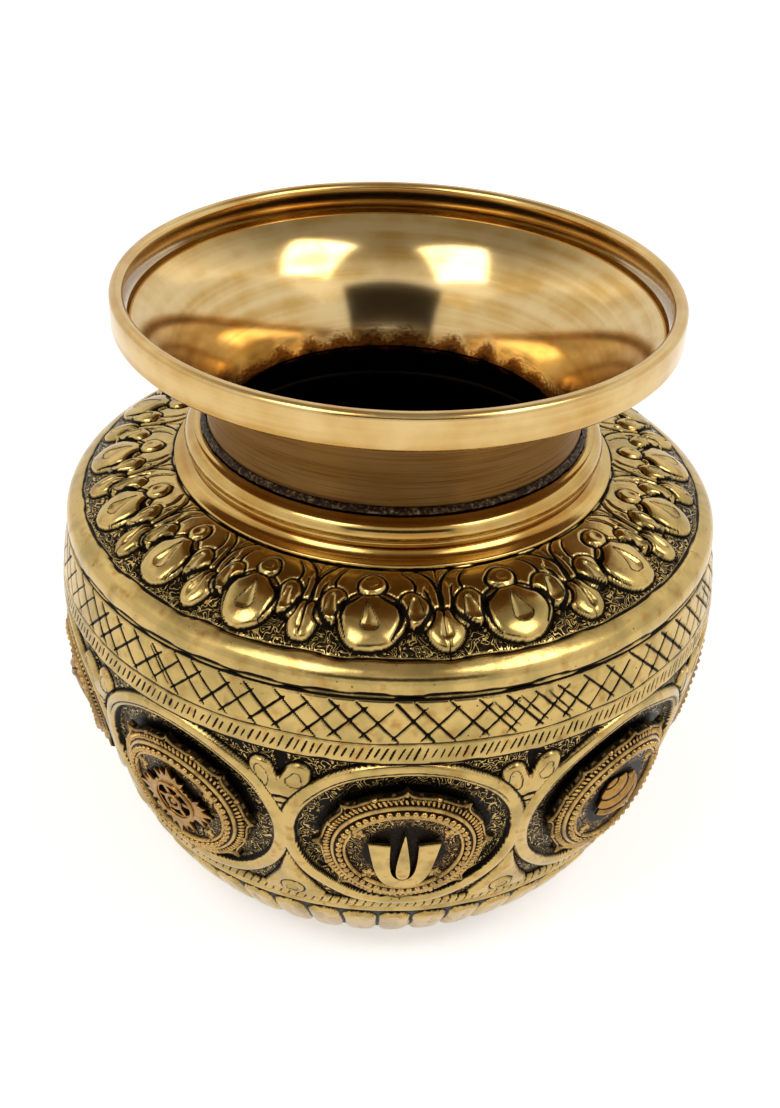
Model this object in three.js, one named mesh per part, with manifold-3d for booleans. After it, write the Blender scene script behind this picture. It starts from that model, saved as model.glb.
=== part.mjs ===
// A brass kalash, the round-bellied South Asian ritual water pot, in millimetres with +Z up.
// The origin is the centre of the flat foot, and one of the medallions faces -Y.
// The wall is chased from sheet in two halves, a turned mouth stands on a stepped collar, and
// cast medallions with their own small emblems are soldered into roundels round the belly.
import * as THREE from "three";
import { mergeVertices } from "three/addons/utils/BufferGeometryUtils.js";
import Module from "manifold-3d";

const wasm = await Module();
wasm.setup();

// Driving dimensions

const seatGap = 0.3; // solder joint between two pieces that touch

// Bowl: one curve sweeps from the foot's edge to the belly, and one from there to the rim
const footRadius = 42;
const heelRun = 20.3; // how far outwards and upwards the curve heads as it leaves the foot
const heelRise = 6.5;
const bellyRadius = 69;
const bellyHeight = 65.2;
const bellyReach = 7; // how far the curve keeps upright below the belly and above it
const bowlRimRadius = 67;
const bowlHeight = 81.4;
const sheetThickness = 2.4;

// Roundels sunk round the belly, and the raised frame of each
const roundelCount = 9;
const roundelHeight = 45.6;
const openingHalfWidth = 21;
const openingHalfHeight = 19.5;
const frameWidth = 3;
const frameProud = 0.9;
const groundDepth = 1.2;

// Between two roundels: a bud of two leaning lobes above, and a hanging leaf below
const budRise = 18; // from the roundels' centres up to the lobes'
const budSpread = 3.4;
const budHalfWidth = 2.5;
const budHalfLength = 3.6;
const budLean = 16; // degrees that each lobe leans out
const leafDrop = 15.3;
const leafHalfWidth = 3.4;
const leafHalfLength = 5;
const budProud = 0.8;

// Lotus petals that stand round the foot
const lotusCount = 48;
const lotusTopHeight = 20.4;
const lotusTipHeight = 4.2;

// Shoulder: a plain bead at its outer edge, then a chased slope up to the collar
const shoulderRise = 11.8;
const beadHeight = 5.4;
const beadBulge = 1.3;
const beadInset = 3; // from the bowl's rim in to the bead's upper edge
const shoulderCrown = 1.4;
const petalCount = 16;
const petalProud = 1.3;

// Collar: a sloping ledge, a groove and a torus, turned as one ring
const collarRadius = 44.8;
const collarLip = 0.5;
const grooveRadius = 41;
const grooveRise = 2.1;
const torusRadius = 3.1;
const collarTopWidth = 4.4;

// Neck and mouth, turned as one piece, with a plain band round its edge
const neckRadius = 37.9;
const neckWall = 1.5;
const neckLength = 12.2;
const flareRise = 10;
const mouthRadius = 52.4;
const bandHeight = 7.2;
const bandThickness = 2.8;
const bandRound = 0.7;
const bandDrop = 0.3; // how far the band hangs below the mouth's edge
const filletWidth = 1.5;
const filletHeight = 1.7;

// Medallions
const medallionRadius = 17.3;
const medallionTilt = 11.5; // degrees that its face looks down
const standOff = 1.3; // from the sunk ground out to the plate's back
const cuspCount = 8;
const bayDepth = 1.4;
const plateThickness = 1.5;
const tickRingRadius = 14.4;
const beadRingRadius = 12.3;
const beadRingWidth = 1.2;
const ringRise = 2;
const fieldDepth = 0.9;
const bossRadius = 8;

// Emblems that stand on the medallions' fields
const emblemThickness = 0.9;
const namamHalfWidth = 6.8;
const namamTop = 3.4;
const namamDepth = 13.4; // from its top down to the foot of the U
const namamBarWidth = 4.2;
const spikeRise = 4; // above the namam's top
const spikeWidth = 3;
const wheelRadius = 5.6;
const hubRadius = 1.7;
const wheelRimWidth = 1.3;
const spokeWidth = 0.8;
const spokeCount = 6;
const flameLength = 3.6;
const flameWidth = 3.8;
const conchLength = 18.5;
const conchWidth = 10.4;
const conchTilt = 38; // degrees that its tail leans over to the right
const whorlCount = 3;

// Fineness of the facets
const turnSegments = 36;
const ringSegments = 16;
const frameSteps = 16;
const lobeSteps = 6;
const wallSteps = 8;
const slopeSteps = 4;
const flareSteps = 5;

const degrees = Math.PI / 180;

// Heights and radii that follow from the sizes above
const shoulderBase = bowlHeight + seatGap;
const shoulderTop = shoulderBase + shoulderRise;
const shoulderEdgeRadius = bowlRimRadius - beadInset;
const collarBase = shoulderTop + seatGap;
const grooveHeight = collarBase + grooveRise;
const torusHeight = grooveHeight + torusRadius * Math.sin(60 * degrees);
const collarTop = torusHeight + torusRadius;
const neckBase = collarTop + seatGap;
const neckBore = neckRadius - neckWall;
const flareBase = neckBase + neckLength;
const mouthHeight = flareBase + flareRise;
const beltTop = roundelHeight + openingHalfHeight + frameWidth;

const brass = new THREE.MeshStandardMaterial({ color: 0xc2a15a, roughness: 0.28, metalness: 1 });
const polished = new THREE.MeshStandardMaterial({ color: 0xcfae68, roughness: 0.08, metalness: 1 });
const turned = new THREE.MeshStandardMaterial({ color: 0xb88c38, roughness: 0.3, metalness: 1 });
const solder = new THREE.MeshStandardMaterial({ color: 0x5d5248, roughness: 0.7, metalness: 0.8 });
const castBrass = new THREE.MeshStandardMaterial({ color: 0xa98a4e, roughness: 0.42, metalness: 1 });
const emblemBrass = new THREE.MeshStandardMaterial({ color: 0xc6a258, roughness: 0.3, metalness: 1 });
const coppery = new THREE.MeshStandardMaterial({ color: 0xa7683a, roughness: 0.4, metalness: 1 });

// The solid that a closed geometry bounds, with its empty triangles dropped.
function solidFrom(geometry) {
  geometry.deleteAttribute("normal");
  geometry.deleteAttribute("uv");
  const merged = mergeVertices(geometry, 1e-4);
  const corners = merged.index.array;
  const kept = [];
  for (let i = 0; i < corners.length; i += 3) {
    const [a, b, c] = [corners[i], corners[i + 1], corners[i + 2]];
    if (a !== b && b !== c && c !== a) kept.push(a, b, c);
  }
  const vertProperties = merged.attributes.position.array;
  return new wasm.Manifold(new wasm.Mesh({ numProp: 3, vertProperties, triVerts: new Uint32Array(kept) }));
}

// The geometry of a solid, for a mesh.
function geometryFrom(solid) {
  const mesh = solid.getMesh();
  const geometry = new THREE.BufferGeometry();
  geometry.setAttribute("position", new THREE.BufferAttribute(mesh.vertProperties, mesh.numProp));
  geometry.setIndex(new THREE.BufferAttribute(mesh.triVerts, 1));
  const flat = geometry.toNonIndexed();
  flat.computeVertexNormals();
  return flat;
}

// A body from grids of points: a list of stations round a loop, each with the same corner points.
// The stations go round an axis anticlockwise, and each one's corners go out low and come back high.
// An open section's first and last corners lie on the axis, which closes it there.
function gridGeometry(stations, closedSection) {
  const sides = stations[0].length;
  const positions = stations.flat().flatMap((point) => point.toArray());
  const corners = [];
  stations.forEach((_, i) => {
    const next = (i + 1) % stations.length;
    for (let side = 0; side < (closedSection ? sides : sides - 1); side++) {
      const turn = (side + 1) % sides;
      const [a, b] = [i * sides + side, i * sides + turn];
      const [c, d] = [next * sides + side, next * sides + turn];
      corners.push(a, d, b, a, c, d);
    }
  });
  const geometry = new THREE.BufferGeometry();
  geometry.setAttribute("position", new THREE.Float32BufferAttribute(positions, 3));
  geometry.setIndex(corners);
  return geometry;
}

// A body turned about Z. The outline goes up its outside and down its inside, as [radius, height].
function turnedBody(outline, segments = turnSegments) {
  const points = outline.map(([radius, height]) => new THREE.Vector2(radius, height));
  return new THREE.LatheGeometry(points, segments).rotateX(Math.PI / 2);
}

// A body turned about Z that closes on itself, such as a ring.
function turnedRing(outline, segments = turnSegments) {
  return turnedBody([...outline, outline[0]], segments);
}

// A flat shape made into a plate that stands up from a height.
function plateGeometry(shape, thickness, curveSegments = 4) {
  return new THREE.ExtrudeGeometry(shape, { depth: thickness, bevelEnabled: false, curveSegments });
}

// Points along an arc in an outline, from one angle to another in degrees.
function arc(radius, height, size, from, to, steps) {
  return Array.from({ length: steps + 1 }, (_, i) => {
    const angle = (from + ((to - from) * i) / steps) * degrees;
    return [radius + size * Math.cos(angle), height + size * Math.sin(angle)];
  });
}

// A point at a radius and a height, turned rightwards from the front.
function pointAt(angle, radius, height) {
  return new THREE.Vector3(radius * Math.sin(angle), -radius * Math.cos(angle), height);
}

// The bowl's outer curve, over its raised work, sampled finely from the foot up.
const bowlCurve = (() => {
  const path = new THREE.CurvePath();
  const foot = new THREE.Vector2(footRadius, 0);
  const belly = new THREE.Vector2(bellyRadius, bellyHeight);
  const rim = new THREE.Vector2(bowlRimRadius, bowlHeight);
  const heel = new THREE.Vector2(footRadius + heelRun, heelRise);
  const below = new THREE.Vector2(bellyRadius, bellyHeight - bellyReach);
  const above = new THREE.Vector2(bellyRadius, bellyHeight + bellyReach);
  path.add(new THREE.CubicBezierCurve(foot, heel, below, belly));
  path.add(new THREE.QuadraticBezierCurve(belly, above, rim));
  return path.getPoints(100);
})();

// The outer curve's radius at a height.
function wallRadius(height) {
  const above = bowlCurve.findIndex((point) => point.y >= height);
  if (above === 0) return footRadius;
  if (above < 0) return bowlRimRadius;
  const [low, high] = [bowlCurve[above - 1], bowlCurve[above]];
  return THREE.MathUtils.mapLinear(height, low.y, high.y, low.x, high.x);
}

// The direction out of the wall at a height, as [outward, upward].
function wallNormal(height) {
  const step = 0.5;
  const slope = (wallRadius(height + step) - wallRadius(height - step)) / (2 * step);
  const length = Math.hypot(1, slope);
  return [1 / length, -slope / length];
}

// A point so far across the front, up the wall, and out of the plain surface between raised work.
function wallPoint(across, height, out) {
  const [outward, upward] = wallNormal(height);
  const radius = wallRadius(height) - frameProud + out * outward;
  return pointAt(across / wallRadius(roundelHeight), radius, height + out * upward);
}

// A point on an oval about the front roundel's centre, grown past its opening by a margin.
function ovalPoint(turn, margin, out, share = 1) {
  const across = share * (openingHalfWidth + margin) * Math.cos(turn);
  const up = share * (openingHalfHeight + margin) * Math.sin(turn);
  return wallPoint(across, roundelHeight + up, out);
}

// A station for each step round an oval.
function ovalStations(stationAt) {
  return Array.from({ length: frameSteps }, (_, i) => stationAt((i / frameSteps) * 2 * Math.PI));
}

// The raised frame of the front roundel, with an eased top.
function frameGeometry() {
  const ease = frameWidth / 4;
  const root = -groundDepth - frameProud;
  const stations = ovalStations((turn) => [
    ovalPoint(turn, frameWidth, root),
    ovalPoint(turn, frameWidth - ease, frameProud),
    ovalPoint(turn, ease, frameProud),
    ovalPoint(turn, 0, root),
  ]);
  return gridGeometry(stations, true);
}

// An oval block over the front roundel, between two distances out of the plain surface.
function roundelBlock(floor, ceiling) {
  const shares = [0, 0.5, 1];
  const margin = frameWidth / 2;
  const stations = ovalStations((turn) => [
    ...shares.map((share) => ovalPoint(turn, margin, floor, share)),
    ...shares.toReversed().map((share) => ovalPoint(turn, margin, ceiling, share)),
  ]);
  return gridGeometry(stations, false);
}

// A lobe raised on a surface and rounded to its crown, rooted in the sheet. The surface's own
// function places each of its points: so far across, so far along and so far out.
function lobeGeometry(place, { across, along, halfWidth, halfLength, lean = 0 }, proud) {
  const at = (turn, share, out) => {
    const x = share * halfWidth * Math.cos(turn);
    const y = share * halfLength * Math.sin(turn);
    const right = x * Math.cos(lean * degrees) + y * Math.sin(lean * degrees);
    const up = y * Math.cos(lean * degrees) - x * Math.sin(lean * degrees);
    return place(across + right, along + up, out);
  };
  const root = -sheetThickness / 2;
  const stations = Array.from({ length: lobeSteps }, (_, i) => {
    const turn = (i / lobeSteps) * 2 * Math.PI;
    return [at(turn, 0, root), at(turn, 1.15, root), at(turn, 0.75, 0.8 * proud), at(turn, 0, proud)];
  });
  return gridGeometry(stations, false);
}

// The bud and the hanging leaf that fill the wall beside a roundel, as if they faced the front.
function budGeometries() {
  const along = roundelHeight + budRise;
  const bud = { along, halfWidth: budHalfWidth, halfLength: budHalfLength };
  const leaf = { along: roundelHeight - leafDrop, halfWidth: leafHalfWidth, halfLength: leafHalfLength };
  const lobes = [
    { ...bud, across: -budSpread, lean: -budLean },
    { ...bud, across: budSpread, lean: budLean },
    { ...leaf, across: 0 },
  ];
  return lobes.map((lobe) => lobeGeometry(wallPoint, lobe, budProud));
}

// The ring of lotus petals, each rounded across and along, rooted in the wall.
function lotusGeometry() {
  const shares = [0, 0.5, 1];
  const root = frameProud + sheetThickness / 2;
  const columns = lotusCount * 2;
  const stations = Array.from({ length: columns }, (_, column) => {
    const angle = (column / columns) * 2 * Math.PI;
    const crest = column % 2;
    const at = (share, depth) => {
      const height = THREE.MathUtils.lerp(lotusTipHeight, lotusTopHeight, share);
      const [outward, upward] = wallNormal(height);
      return pointAt(angle, wallRadius(height) - depth * outward, height - depth * upward);
    };
    const face = shares.map((share) => {
      const swell = crest * Math.sin((0.2 + 0.7 * share) * Math.PI);
      return at(share, (1 - swell) * 0.85 * frameProud);
    });
    return [...shares.toReversed().map((share) => at(share, root)), ...face];
  });
  return gridGeometry(stations, true);
}

// The bowl: a sheet wall with sunk roundels, their raised frames, the buds and the lotus ring.
function bowlGeometry() {
  const outside = [[0, 0], [footRadius, 0]];
  const inside = [[0, sheetThickness], [footRadius - sheetThickness, sheetThickness]];
  for (let i = 1; i <= wallSteps; i++) {
    const height = beltTop * (i / wallSteps) ** 1.2;
    outside.push([wallRadius(height) - frameProud, height]);
    if (i % 2 === 0) inside.push([wallRadius(height) - frameProud - sheetThickness, height]);
  }
  for (const height of [beltTop + frameProud, (beltTop + bowlHeight) / 2, bowlHeight]) {
    outside.push([wallRadius(height), height]);
  }
  inside.push([bowlRimRadius - frameProud - sheetThickness, bowlHeight]);
  let body = solidFrom(turnedBody([...outside, ...inside.toReversed()]));
  const lead = frameProud + 3;
  for (let i = 0; i < roundelCount; i++) {
    const turn = (i / roundelCount) * 2 * Math.PI;
    body = body.subtract(solidFrom(roundelBlock(-groundDepth, lead).rotateZ(turn)));
  }
  for (let i = 0; i < roundelCount; i++) {
    const turn = (i / roundelCount) * 2 * Math.PI;
    body = body.add(solidFrom(frameGeometry().rotateZ(turn)));
    for (const lobe of budGeometries()) {
      body = body.add(solidFrom(lobe.rotateZ(turn + Math.PI / roundelCount)));
    }
  }
  return geometryFrom(body.add(solidFrom(lotusGeometry())));
}

// Points from one end to the other along a bow that bulges to the right by a given depth.
function arcBetween(from, to, bulge, steps) {
  const [run, rise] = [to[0] - from[0], to[1] - from[1]];
  const length = Math.hypot(run, rise);
  return Array.from({ length: steps + 1 }, (_, i) => {
    const share = i / steps;
    const out = (bulge * Math.sin(share * Math.PI)) / length;
    return [from[0] + run * share + rise * out, from[1] + rise * share - run * out];
  });
}

// A point so many petal widths to the right of the front, at a share of the way up the chased
// slope, and out of it.
function slopePoint(across, share, out) {
  const run = collarRadius - shoulderEdgeRadius;
  const rise = shoulderRise - beadHeight;
  const length = Math.hypot(run, rise);
  const bow = shoulderCrown * Math.sin(share * Math.PI) + out;
  const radius = shoulderEdgeRadius + run * share + (rise / length) * bow;
  const height = shoulderBase + beadHeight + rise * share - (run / length) * bow;
  return pointAt((across / petalCount) * 2 * Math.PI, radius, height);
}

// The lobes of one petal's width, in petal widths and shares of the slope: a broad fan with a knob
// above it, and beside it half of the three-lobed leaf that stands between two fans.
function petalGeometries() {
  const lobes = [
    { across: 0, along: 0.39, halfWidth: 0.22, halfLength: 0.3 },
    { across: 0, along: 0.79, halfWidth: 0.1, halfLength: 0.1 },
    { across: 0.5, along: 0.29, halfWidth: 0.12, halfLength: 0.2 },
    { across: 0.34, along: 0.53, halfWidth: 0.11, halfLength: 0.2, lean: -20 },
    { across: -0.34, along: 0.53, halfWidth: 0.11, halfLength: 0.2, lean: 20 },
  ];
  return lobes.map((lobe) => lobeGeometry(slopePoint, lobe, petalProud));
}

// The shoulder: the bead and the chased slope outside, and a plain offset wall inside.
function shoulderGeometry() {
  const edge = [bowlRimRadius, shoulderBase];
  const bead = arcBetween(edge, [shoulderEdgeRadius, shoulderBase + beadHeight], beadBulge, 4);
  const slope = arcBetween(bead.at(-1), [collarRadius, shoulderTop], shoulderCrown, slopeSteps);
  const outside = [...bead, ...slope.slice(1)];
  const segments = 2 * petalCount;
  let body = solidFrom(turnedBody([[0, shoulderBase], ...outside, [0, shoulderTop]], segments));
  for (let i = 0; i < petalCount; i++) {
    for (const lobe of petalGeometries()) {
      body = body.add(solidFrom(lobe.rotateZ((i / petalCount) * 2 * Math.PI)));
    }
  }
  const bore = neckBore + seatGap;
  const lead = 1;
  const ceiling = shoulderTop - sheetThickness;
  const under = outside.slice(1, -1).map(([radius, height]) => [radius, height - sheetThickness / 2]);
  const inside = [
    [0, shoulderBase - lead],
    [bowlRimRadius - frameProud - sheetThickness, shoulderBase - lead],
    ...under.map(([radius, height]) => [radius - sheetThickness, height]),
    [collarRadius - sheetThickness, ceiling],
    [bore, ceiling],
    [bore, shoulderTop + lead],
    [0, shoulderTop + lead],
  ];
  return geometryFrom(body.subtract(solidFrom(turnedBody(inside, segments))));
}

// The collar ring: a ledge that slopes up from the shoulder, a groove, and a torus under the neck.
function collarGeometry() {
  const bore = neckBore - seatGap;
  const torusAxis = grooveRadius - torusRadius * Math.cos(60 * degrees);
  return turnedRing([
    [bore, collarBase],
    [collarRadius, collarBase],
    [collarRadius, collarBase + collarLip],
    [grooveRadius + collarLip, grooveHeight - collarLip],
    ...arc(torusAxis, torusHeight, torusRadius, -60, 60, 4),
    [bore + collarTopWidth, collarTop],
    [bore, collarTop],
  ]);
}

// The ragged solder fillet where the neck stands on the collar.
function filletGeometry() {
  const inner = neckRadius + seatGap;
  return turnedRing([
    [inner, neckBase],
    [inner + filletWidth, neckBase],
    [inner + filletWidth * 0.75, neckBase + filletHeight / 2],
    [inner, neckBase + filletHeight],
  ]);
}

// Points of the flare, from the neck out to the mouth's edge, on a face raised off its underside.
function flarePoints(raise) {
  const start = neckRadius - raise;
  const run = mouthRadius - start;
  const curve = new THREE.CubicBezierCurve(
    new THREE.Vector2(start, flareBase),
    new THREE.Vector2(start, flareBase + flareRise * 0.6),
    new THREE.Vector2(start + run * 0.35, mouthHeight + raise),
    new THREE.Vector2(mouthRadius, mouthHeight + raise),
  );
  return curve.getPoints(flareSteps).map(({ x, y }) => [x, y]);
}

// The neck and mouth, one turned wall that flares like a trumpet.
function mouthGeometry() {
  return turnedRing([
    [neckBore, neckBase],
    [neckRadius, neckBase],
    ...flarePoints(0),
    ...flarePoints(neckWall).reverse(),
  ]);
}

// The plain band round the mouth's edge, with a rounded lip.
function bandGeometry() {
  const inner = mouthRadius + seatGap;
  const outer = inner + bandThickness;
  const base = mouthHeight - bandDrop;
  const top = base + bandHeight;
  return turnedRing([
    [inner, base],
    [outer - bandRound, base],
    [outer, base + bandRound],
    ...arc(outer - bandRound, top - bandRound, bandRound, 0, 90, 2),
    ...arc(inner + bandRound, top - bandRound, bandRound, 90, 180, 2),
  ]);
}

// The medallions' own frame: X across, Y up the wall and Z out of it, at the back of the plate.
function medallionFace() {
  const ground = wallRadius(roundelHeight) - frameProud - groundDepth;
  const face = new THREE.Group();
  face.position.set(0, -(ground + standOff), roundelHeight);
  face.rotation.x = (90 + medallionTilt) * degrees;
  face.updateMatrix();
  return face;
}

// The cusped outline of a medallion: pointed cusps joined by shallow bays, with a cusp at the top.
function cuspedShape() {
  const stepsPerCusp = 3;
  const steps = cuspCount * stepsPerCusp;
  const points = Array.from({ length: steps }, (_, i) => {
    const radius = i % stepsPerCusp === 0 ? medallionRadius : medallionRadius - bayDepth;
    const angle = (i / steps) * 2 * Math.PI + Math.PI / 2;
    return new THREE.Vector2(radius * Math.cos(angle), radius * Math.sin(angle));
  });
  return new THREE.Shape(points);
}

// A medallion: a cusped plate with a bead ring round a sunk field, and a boss that seats on the wall.
function medallionGeometry() {
  const top = plateThickness + ringRise;
  const ring = turnedBody(
    [
      [0, plateThickness / 2],
      [tickRingRadius, plateThickness / 2],
      [tickRingRadius, plateThickness],
      [beadRingRadius + beadRingWidth / 2, top],
      [beadRingRadius - beadRingWidth / 2, top],
      [beadRingRadius - beadRingWidth / 2, top - fieldDepth],
      [0, top - fieldDepth],
    ],
    ringSegments,
  );
  const wall = roundelBlock(-groundDepth - 3 * standOff, -groundDepth + seatGap);
  wall.applyMatrix4(medallionFace().matrix.invert());
  const bossLength = plateThickness / 2 + 2 * standOff;
  const boss = new THREE.CylinderGeometry(bossRadius, bossRadius, bossLength, 12).rotateX(Math.PI / 2);
  boss.translate(0, 0, (plateThickness - bossLength) / 2);
  const seatedBoss = solidFrom(boss).subtract(solidFrom(wall));
  const plate = solidFrom(plateGeometry(cuspedShape(), plateThickness));
  return geometryFrom(plate.add(solidFrom(ring)).add(seatedBoss));
}

// The namam: a broad U whose bars lean in towards its foot, with a tapering spike between them.
function namamGeometry() {
  const foot = namamTop - namamDepth;
  const bend = foot + namamDepth * 0.16;
  const footHalfWidth = namamHalfWidth * 0.68;
  const gap = namamHalfWidth - namamBarWidth;
  const outline = new THREE.Shape();
  outline.moveTo(-namamHalfWidth, namamTop);
  outline.lineTo(-footHalfWidth, bend);
  outline.quadraticCurveTo(-footHalfWidth, foot, 0, foot);
  outline.quadraticCurveTo(footHalfWidth, foot, footHalfWidth, bend);
  outline.lineTo(namamHalfWidth, namamTop);
  outline.lineTo(gap, namamTop);
  outline.lineTo(gap, bend);
  outline.lineTo(-gap, bend);
  outline.lineTo(-gap, namamTop);
  const spike = new THREE.Shape();
  spike.moveTo(0, namamTop + spikeRise);
  spike.lineTo(-spikeWidth / 2, bend);
  spike.lineTo(0, (foot + bend) / 2);
  spike.lineTo(spikeWidth / 2, bend);
  const bars = solidFrom(plateGeometry(outline, emblemThickness));
  return geometryFrom(bars.add(solidFrom(plateGeometry(spike, emblemThickness))));
}

// The chakra: a spoked wheel with a flame on each of its four sides.
function chakraGeometry() {
  const hollowRadius = wheelRadius - wheelRimWidth;
  const rimMiddle = wheelRadius - wheelRimWidth / 2;
  const rim = turnedRing(
    [
      [hollowRadius, 0],
      [wheelRadius, 0],
      [wheelRadius, emblemThickness],
      [hollowRadius, emblemThickness],
    ],
    12,
  );
  const hub = new THREE.CylinderGeometry(hubRadius, hubRadius, emblemThickness, 8);
  hub.rotateX(Math.PI / 2).translate(0, 0, emblemThickness / 2);
  let body = solidFrom(rim).add(solidFrom(hub));
  for (let i = 0; i < spokeCount; i++) {
    const spoke = new THREE.BoxGeometry(rimMiddle, spokeWidth, emblemThickness);
    spoke.translate(rimMiddle / 2, 0, emblemThickness / 2).rotateZ((i / spokeCount) * 2 * Math.PI);
    body = body.add(solidFrom(spoke));
  }
  const flame = new THREE.Shape();
  flame.moveTo(-flameWidth / 2, rimMiddle);
  flame.lineTo(flameWidth / 2, rimMiddle);
  flame.quadraticCurveTo(flameWidth / 2, wheelRadius + flameLength / 2, 0, wheelRadius + flameLength);
  flame.quadraticCurveTo(-flameWidth / 2, wheelRadius + flameLength / 2, -flameWidth / 2, rimMiddle);
  for (let i = 0; i < 4; i++) {
    body = body.add(solidFrom(plateGeometry(flame, emblemThickness, 2).rotateZ((i * Math.PI) / 2)));
  }
  return geometryFrom(body);
}

// The shankha: a conch seen from its side, with a tapering tail and whorls stepped on its crown.
function shankhaGeometry() {
  const halfWidth = conchWidth / 2;
  const crown = conchLength * 0.42;
  const tail = crown - conchLength;
  const outline = new THREE.Shape();
  outline.moveTo(0, crown);
  outline.bezierCurveTo(-halfWidth, crown, -halfWidth * 1.3, 0, -halfWidth * 0.6, tail / 2);
  outline.lineTo(0, tail);
  outline.lineTo(halfWidth * 0.5, tail / 2);
  outline.bezierCurveTo(halfWidth * 1.4, 0, halfWidth, crown, 0, crown);
  let body = solidFrom(plateGeometry(outline, emblemThickness));
  for (let i = 0; i < whorlCount; i++) {
    const size = (halfWidth * 0.8 * (whorlCount - i)) / whorlCount;
    const whorl = new THREE.CylinderGeometry(size * 0.8, size, emblemThickness, 10);
    whorl.rotateX(Math.PI / 2).translate(0, (crown * i) / whorlCount, emblemThickness * (0.5 + (i + 1) / 4));
    body = body.add(solidFrom(whorl));
  }
  return geometryFrom(body).rotateZ(conchTilt * degrees);
}

// The assembly

const kalash = new THREE.Group();

function addPiece(name, geometry, material, parent = kalash) {
  const mesh = new THREE.Mesh(geometry, material);
  mesh.name = name;
  parent.add(mesh);
  return mesh;
}

addPiece("bowl", bowlGeometry(), brass);
addPiece("shoulder", shoulderGeometry(), brass);
addPiece("collar_ring", collarGeometry(), brass);
addPiece("neck_solder", filletGeometry(), solder);
addPiece("neck_and_mouth", mouthGeometry(), polished);
addPiece("rim_band", bandGeometry(), turned);

// The three emblems follow each other round the belly, rightwards from the front.
const emblems = [
  { kind: "namam", geometry: namamGeometry(), material: emblemBrass },
  { kind: "shankha", geometry: shankhaGeometry(), material: coppery },
  { kind: "chakra", geometry: chakraGeometry(), material: coppery },
];
const medallion = medallionGeometry();
const fieldHeight = plateThickness + ringRise - fieldDepth;

for (let i = 0; i < roundelCount; i++) {
  const side = new THREE.Group();
  side.rotation.z = (i / roundelCount) * 2 * Math.PI;
  const face = medallionFace();
  side.add(face);
  kalash.add(side);
  addPiece(`medallion_${i + 1}`, medallion, castBrass, face);
  const { kind, geometry, material } = emblems[i % emblems.length];
  const emblem = addPiece(`${kind}_${i + 1}`, geometry, material, face);
  emblem.position.z = fieldHeight + seatGap;
}

export default kalash;
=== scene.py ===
import logging
import math
from abc import ABC, abstractmethod
from dataclasses import dataclass, field
from enum import Enum
from functools import partial
from typing import Any, Callable, ClassVar, Sequence

import bmesh
import bpy
import numpy as np
from bpy.types import Material, Mesh, Node, NodeSocket, NodeTree, Object
from mathutils import Matrix, Vector

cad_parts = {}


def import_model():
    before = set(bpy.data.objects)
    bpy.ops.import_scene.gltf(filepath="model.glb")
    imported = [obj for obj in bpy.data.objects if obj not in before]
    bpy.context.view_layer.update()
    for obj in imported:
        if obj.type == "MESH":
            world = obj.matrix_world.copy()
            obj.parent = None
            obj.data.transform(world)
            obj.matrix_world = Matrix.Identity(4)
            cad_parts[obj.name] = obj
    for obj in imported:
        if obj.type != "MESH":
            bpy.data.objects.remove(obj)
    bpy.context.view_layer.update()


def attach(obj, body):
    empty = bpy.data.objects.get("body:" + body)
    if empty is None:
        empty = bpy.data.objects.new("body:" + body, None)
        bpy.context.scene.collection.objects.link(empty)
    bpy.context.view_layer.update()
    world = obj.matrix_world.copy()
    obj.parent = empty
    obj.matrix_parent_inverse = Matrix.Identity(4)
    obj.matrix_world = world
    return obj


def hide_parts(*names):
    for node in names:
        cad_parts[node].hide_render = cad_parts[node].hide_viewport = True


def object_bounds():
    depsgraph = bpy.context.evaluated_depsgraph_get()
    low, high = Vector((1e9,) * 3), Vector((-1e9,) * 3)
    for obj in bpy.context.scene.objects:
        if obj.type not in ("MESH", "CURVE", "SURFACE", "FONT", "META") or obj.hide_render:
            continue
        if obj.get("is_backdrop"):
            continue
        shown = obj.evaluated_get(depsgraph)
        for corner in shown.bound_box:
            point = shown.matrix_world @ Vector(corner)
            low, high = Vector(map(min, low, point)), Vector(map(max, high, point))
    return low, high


# A brass kalash: a round pot chased all over, with cast medallions round its belly.
# Sizes in the classes are millimetres and turn into metres where a mesh is made.
# Angles run rightwards from the front, which faces -Y. "Down" is the way along the wall from
# the line chased round the collar, over the shoulder, the belly and the foot.

MM = 0.001
BODY = "root"
LOG = logging.getLogger("kalash")

Array = np.ndarray
Floats = Sequence[float]
Adder = Callable[..., Node]
Shell = tuple[Array, Array, Sequence[Floats]]


# Plain helpers


def linear(shade: str) -> tuple[float, float, float, float]:
    """Turns an sRGB hex colour into linear red, green, blue and alpha.

    Args:
        shade: Six hex digits after a hash sign.

    Returns:
        The colour that a shader socket takes.
    """
    parts = [int(shade[i : i + 2], 16) / 255 for i in (1, 3, 5)]
    curve = [p / 12.92 if p <= 0.04045 else ((p + 0.055) / 1.055) ** 2.4 for p in parts]
    return curve[0], curve[1], curve[2], 1.0


def add_node(
    tree: NodeTree, kind: str, inputs: dict[int | str, Any] | None = None, **settings: Any
) -> Node:
    """Adds a node to a tree with its settings, values and links.

    Args:
        tree: The shader or geometry tree.
        kind: The node's type name.
        inputs: For each input, by name or by place among those in use, a value, a node whose
            first output is linked, or a socket.
        **settings: The node's own properties.

    Returns:
        The new node.
    """
    node = tree.nodes.new(kind)
    for name, value in settings.items():
        setattr(node, name, value)
    for key, value in (inputs or {}).items():
        used = [socket for socket in node.inputs if socket.enabled]
        socket = used[key] if isinstance(key, int) else next(s for s in used if s.name == key)
        if isinstance(value, Node):
            value = next(s for s in value.outputs if s.enabled)
        if isinstance(value, NodeSocket):
            tree.links.new(value, socket)
        else:
            socket.default_value = value
    return node


def ease(value: Array) -> Array:
    """Runs smoothly from 0 to 1 as the value does."""
    share = np.clip(value, 0, 1)
    return share * share * (3 - 2 * share)


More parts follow.
